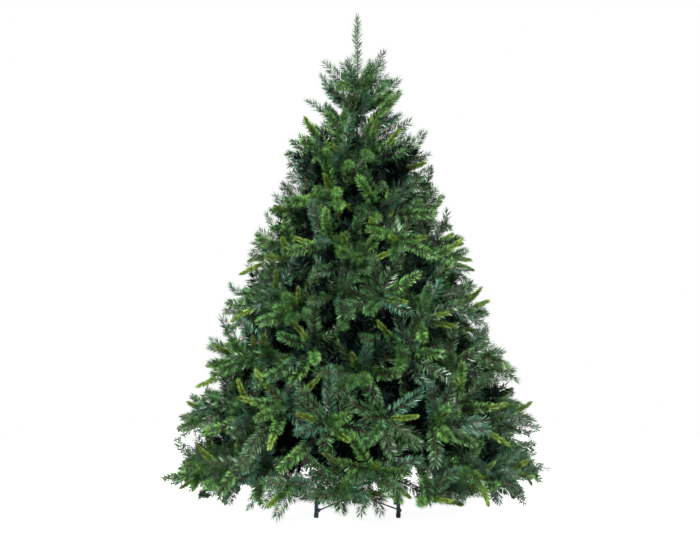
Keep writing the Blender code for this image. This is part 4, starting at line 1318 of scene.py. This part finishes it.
class TREE_OT_studio(bpy.types.Operator):
    """Set up the pale floor, the soft lights and the camera"""

    bl_idname = "christmas_tree.studio"
    bl_label = "Studio"

    FLOOR_RADIUS = 3.4
    FLOOR_SIDES = 64
    AIM = (0, 0, 0.9)

    # Soft lights, as (name, place, size, share of the power)
    LIGHTS = (
        ("key", (-2.0, -4.8, 4.4), 0.55, 1.26),
        ("fill", (3.2, -5.2, 2.4), 1.2, 0.34),
        ("top", (0.0, -0.8, 5.5), 3.0, 0.55),
        ("back", (2.5, 4.8, 4.0), 2.4, 0.65),
        ("back_fill", (-3.6, 4.2, 2.4), 2.4, 0.4),
    )

    def execute(self, context):
        look = context.scene.tree_studio
        scene = context.scene
        sides = self.FLOOR_SIDES
        turn = np.linspace(0, TAU, sides, endpoint=False)
        rim = np.stack([np.cos(turn), np.sin(turn), 0 * turn], -1) * self.FLOOR_RADIUS
        corners = np.concatenate([rim, np.zeros((1, 3))])
        here = np.arange(sides)
        faces = np.stack([np.full(sides, sides), here, (here + 1) % sides], -1)
        mesh = bpy.data.meshes.new("studio_floor")
        mesh.from_pydata(corners.tolist(), [], faces.tolist())
        mesh.materials.append(floor_material(look.floor_glow))
        floor = bpy.data.objects.new("studio_floor", mesh)
        scene.collection.objects.link(floor)
        for name, place, size, share in self.LIGHTS:
            light = bpy.data.lights.new(name, "AREA")
            light.size = size
            light.energy = look.power * share
            lamp = bpy.data.objects.new(name, light)
            lamp.location = place
            lamp.rotation_euler = (Vector(self.AIM) - Vector(place)).to_track_quat("-Z", "Y").to_euler()
            scene.collection.objects.link(lamp)
        world = bpy.data.worlds.new("studio")
        world.use_nodes = True
        tree = world.node_tree
        seen = add_node(tree, "LightPath")["Is Camera Ray"]
        strength = add_node(tree, "MapRange", {"Value": seen, "To Min": look.sky, "To Max": 1.0})["Result"]
        set_inputs(tree, tree.nodes["Background"].inputs, {"Color": (1, 1, 1, 1), "Strength": strength})
        scene.world = world
        scene.view_settings.view_transform = "Standard"
        data = bpy.data.cameras.new("camera")
        data.lens = look.lens
        data.sensor_width = 36
        camera = bpy.data.objects.new("camera", data)
        camera.location = (look.sideways, -look.distance, look.height)
        camera.rotation_euler = (math.radians(90), 0, 0)
        scene.collection.objects.link(camera)
        scene.camera = camera
        return {"FINISHED"}


class TREE_PT_panel(bpy.types.Panel):
    """The tree's operators and settings"""

    bl_label = "Christmas Tree"
    bl_idname = "TREE_PT_panel"
    bl_space_type = "VIEW_3D"
    bl_region_type = "UI"
    bl_category = "Tree"

    def draw(self, context):
        for operator in OPERATORS:
            self.layout.operator(operator.bl_idname)
        for name, group in SETTINGS.items():
            box = self.layout.box()
            box.label(text=name.replace("_", " "))
            for setting in group.__annotations__:
                box.prop(getattr(context.scene, name), setting)


OPERATORS = (TREE_OT_needles, TREE_OT_wires, TREE_OT_boughs, TREE_OT_pole, TREE_OT_stand, TREE_OT_studio)
SETTINGS = {
    **{f"tree_{kind}": group for kind, group in NEEDLES.items()},
    "tree_tips": TipSettings,
    "tree_wires": WireSettings,
    "tree_stand": StandSettings,
    "tree_studio": StudioSettings,
}


def register():
    for group in SETTINGS.values():
        bpy.utils.register_class(group)
    for name, group in SETTINGS.items():
        setattr(bpy.types.Scene, name, bpy.props.PointerProperty(type=group))
    for operator in OPERATORS:
        bpy.utils.register_class(operator)
    bpy.utils.register_class(TREE_PT_panel)


def unregister():
    bpy.utils.unregister_class(TREE_PT_panel)
    for operator in reversed(OPERATORS):
        bpy.utils.unregister_class(operator)
    for name in SETTINGS:
        delattr(bpy.types.Scene, name)
    for group in reversed(SETTINGS.values()):
        bpy.utils.unregister_class(group)


def main():
    register()
    bpy.ops.christmas_tree.needles()
    bpy.ops.christmas_tree.wires()
    bpy.ops.christmas_tree.boughs()
    bpy.ops.christmas_tree.pole()
    bpy.ops.christmas_tree.stand()
    bpy.ops.christmas_tree.studio()


if __name__ == "__main__":
    main()
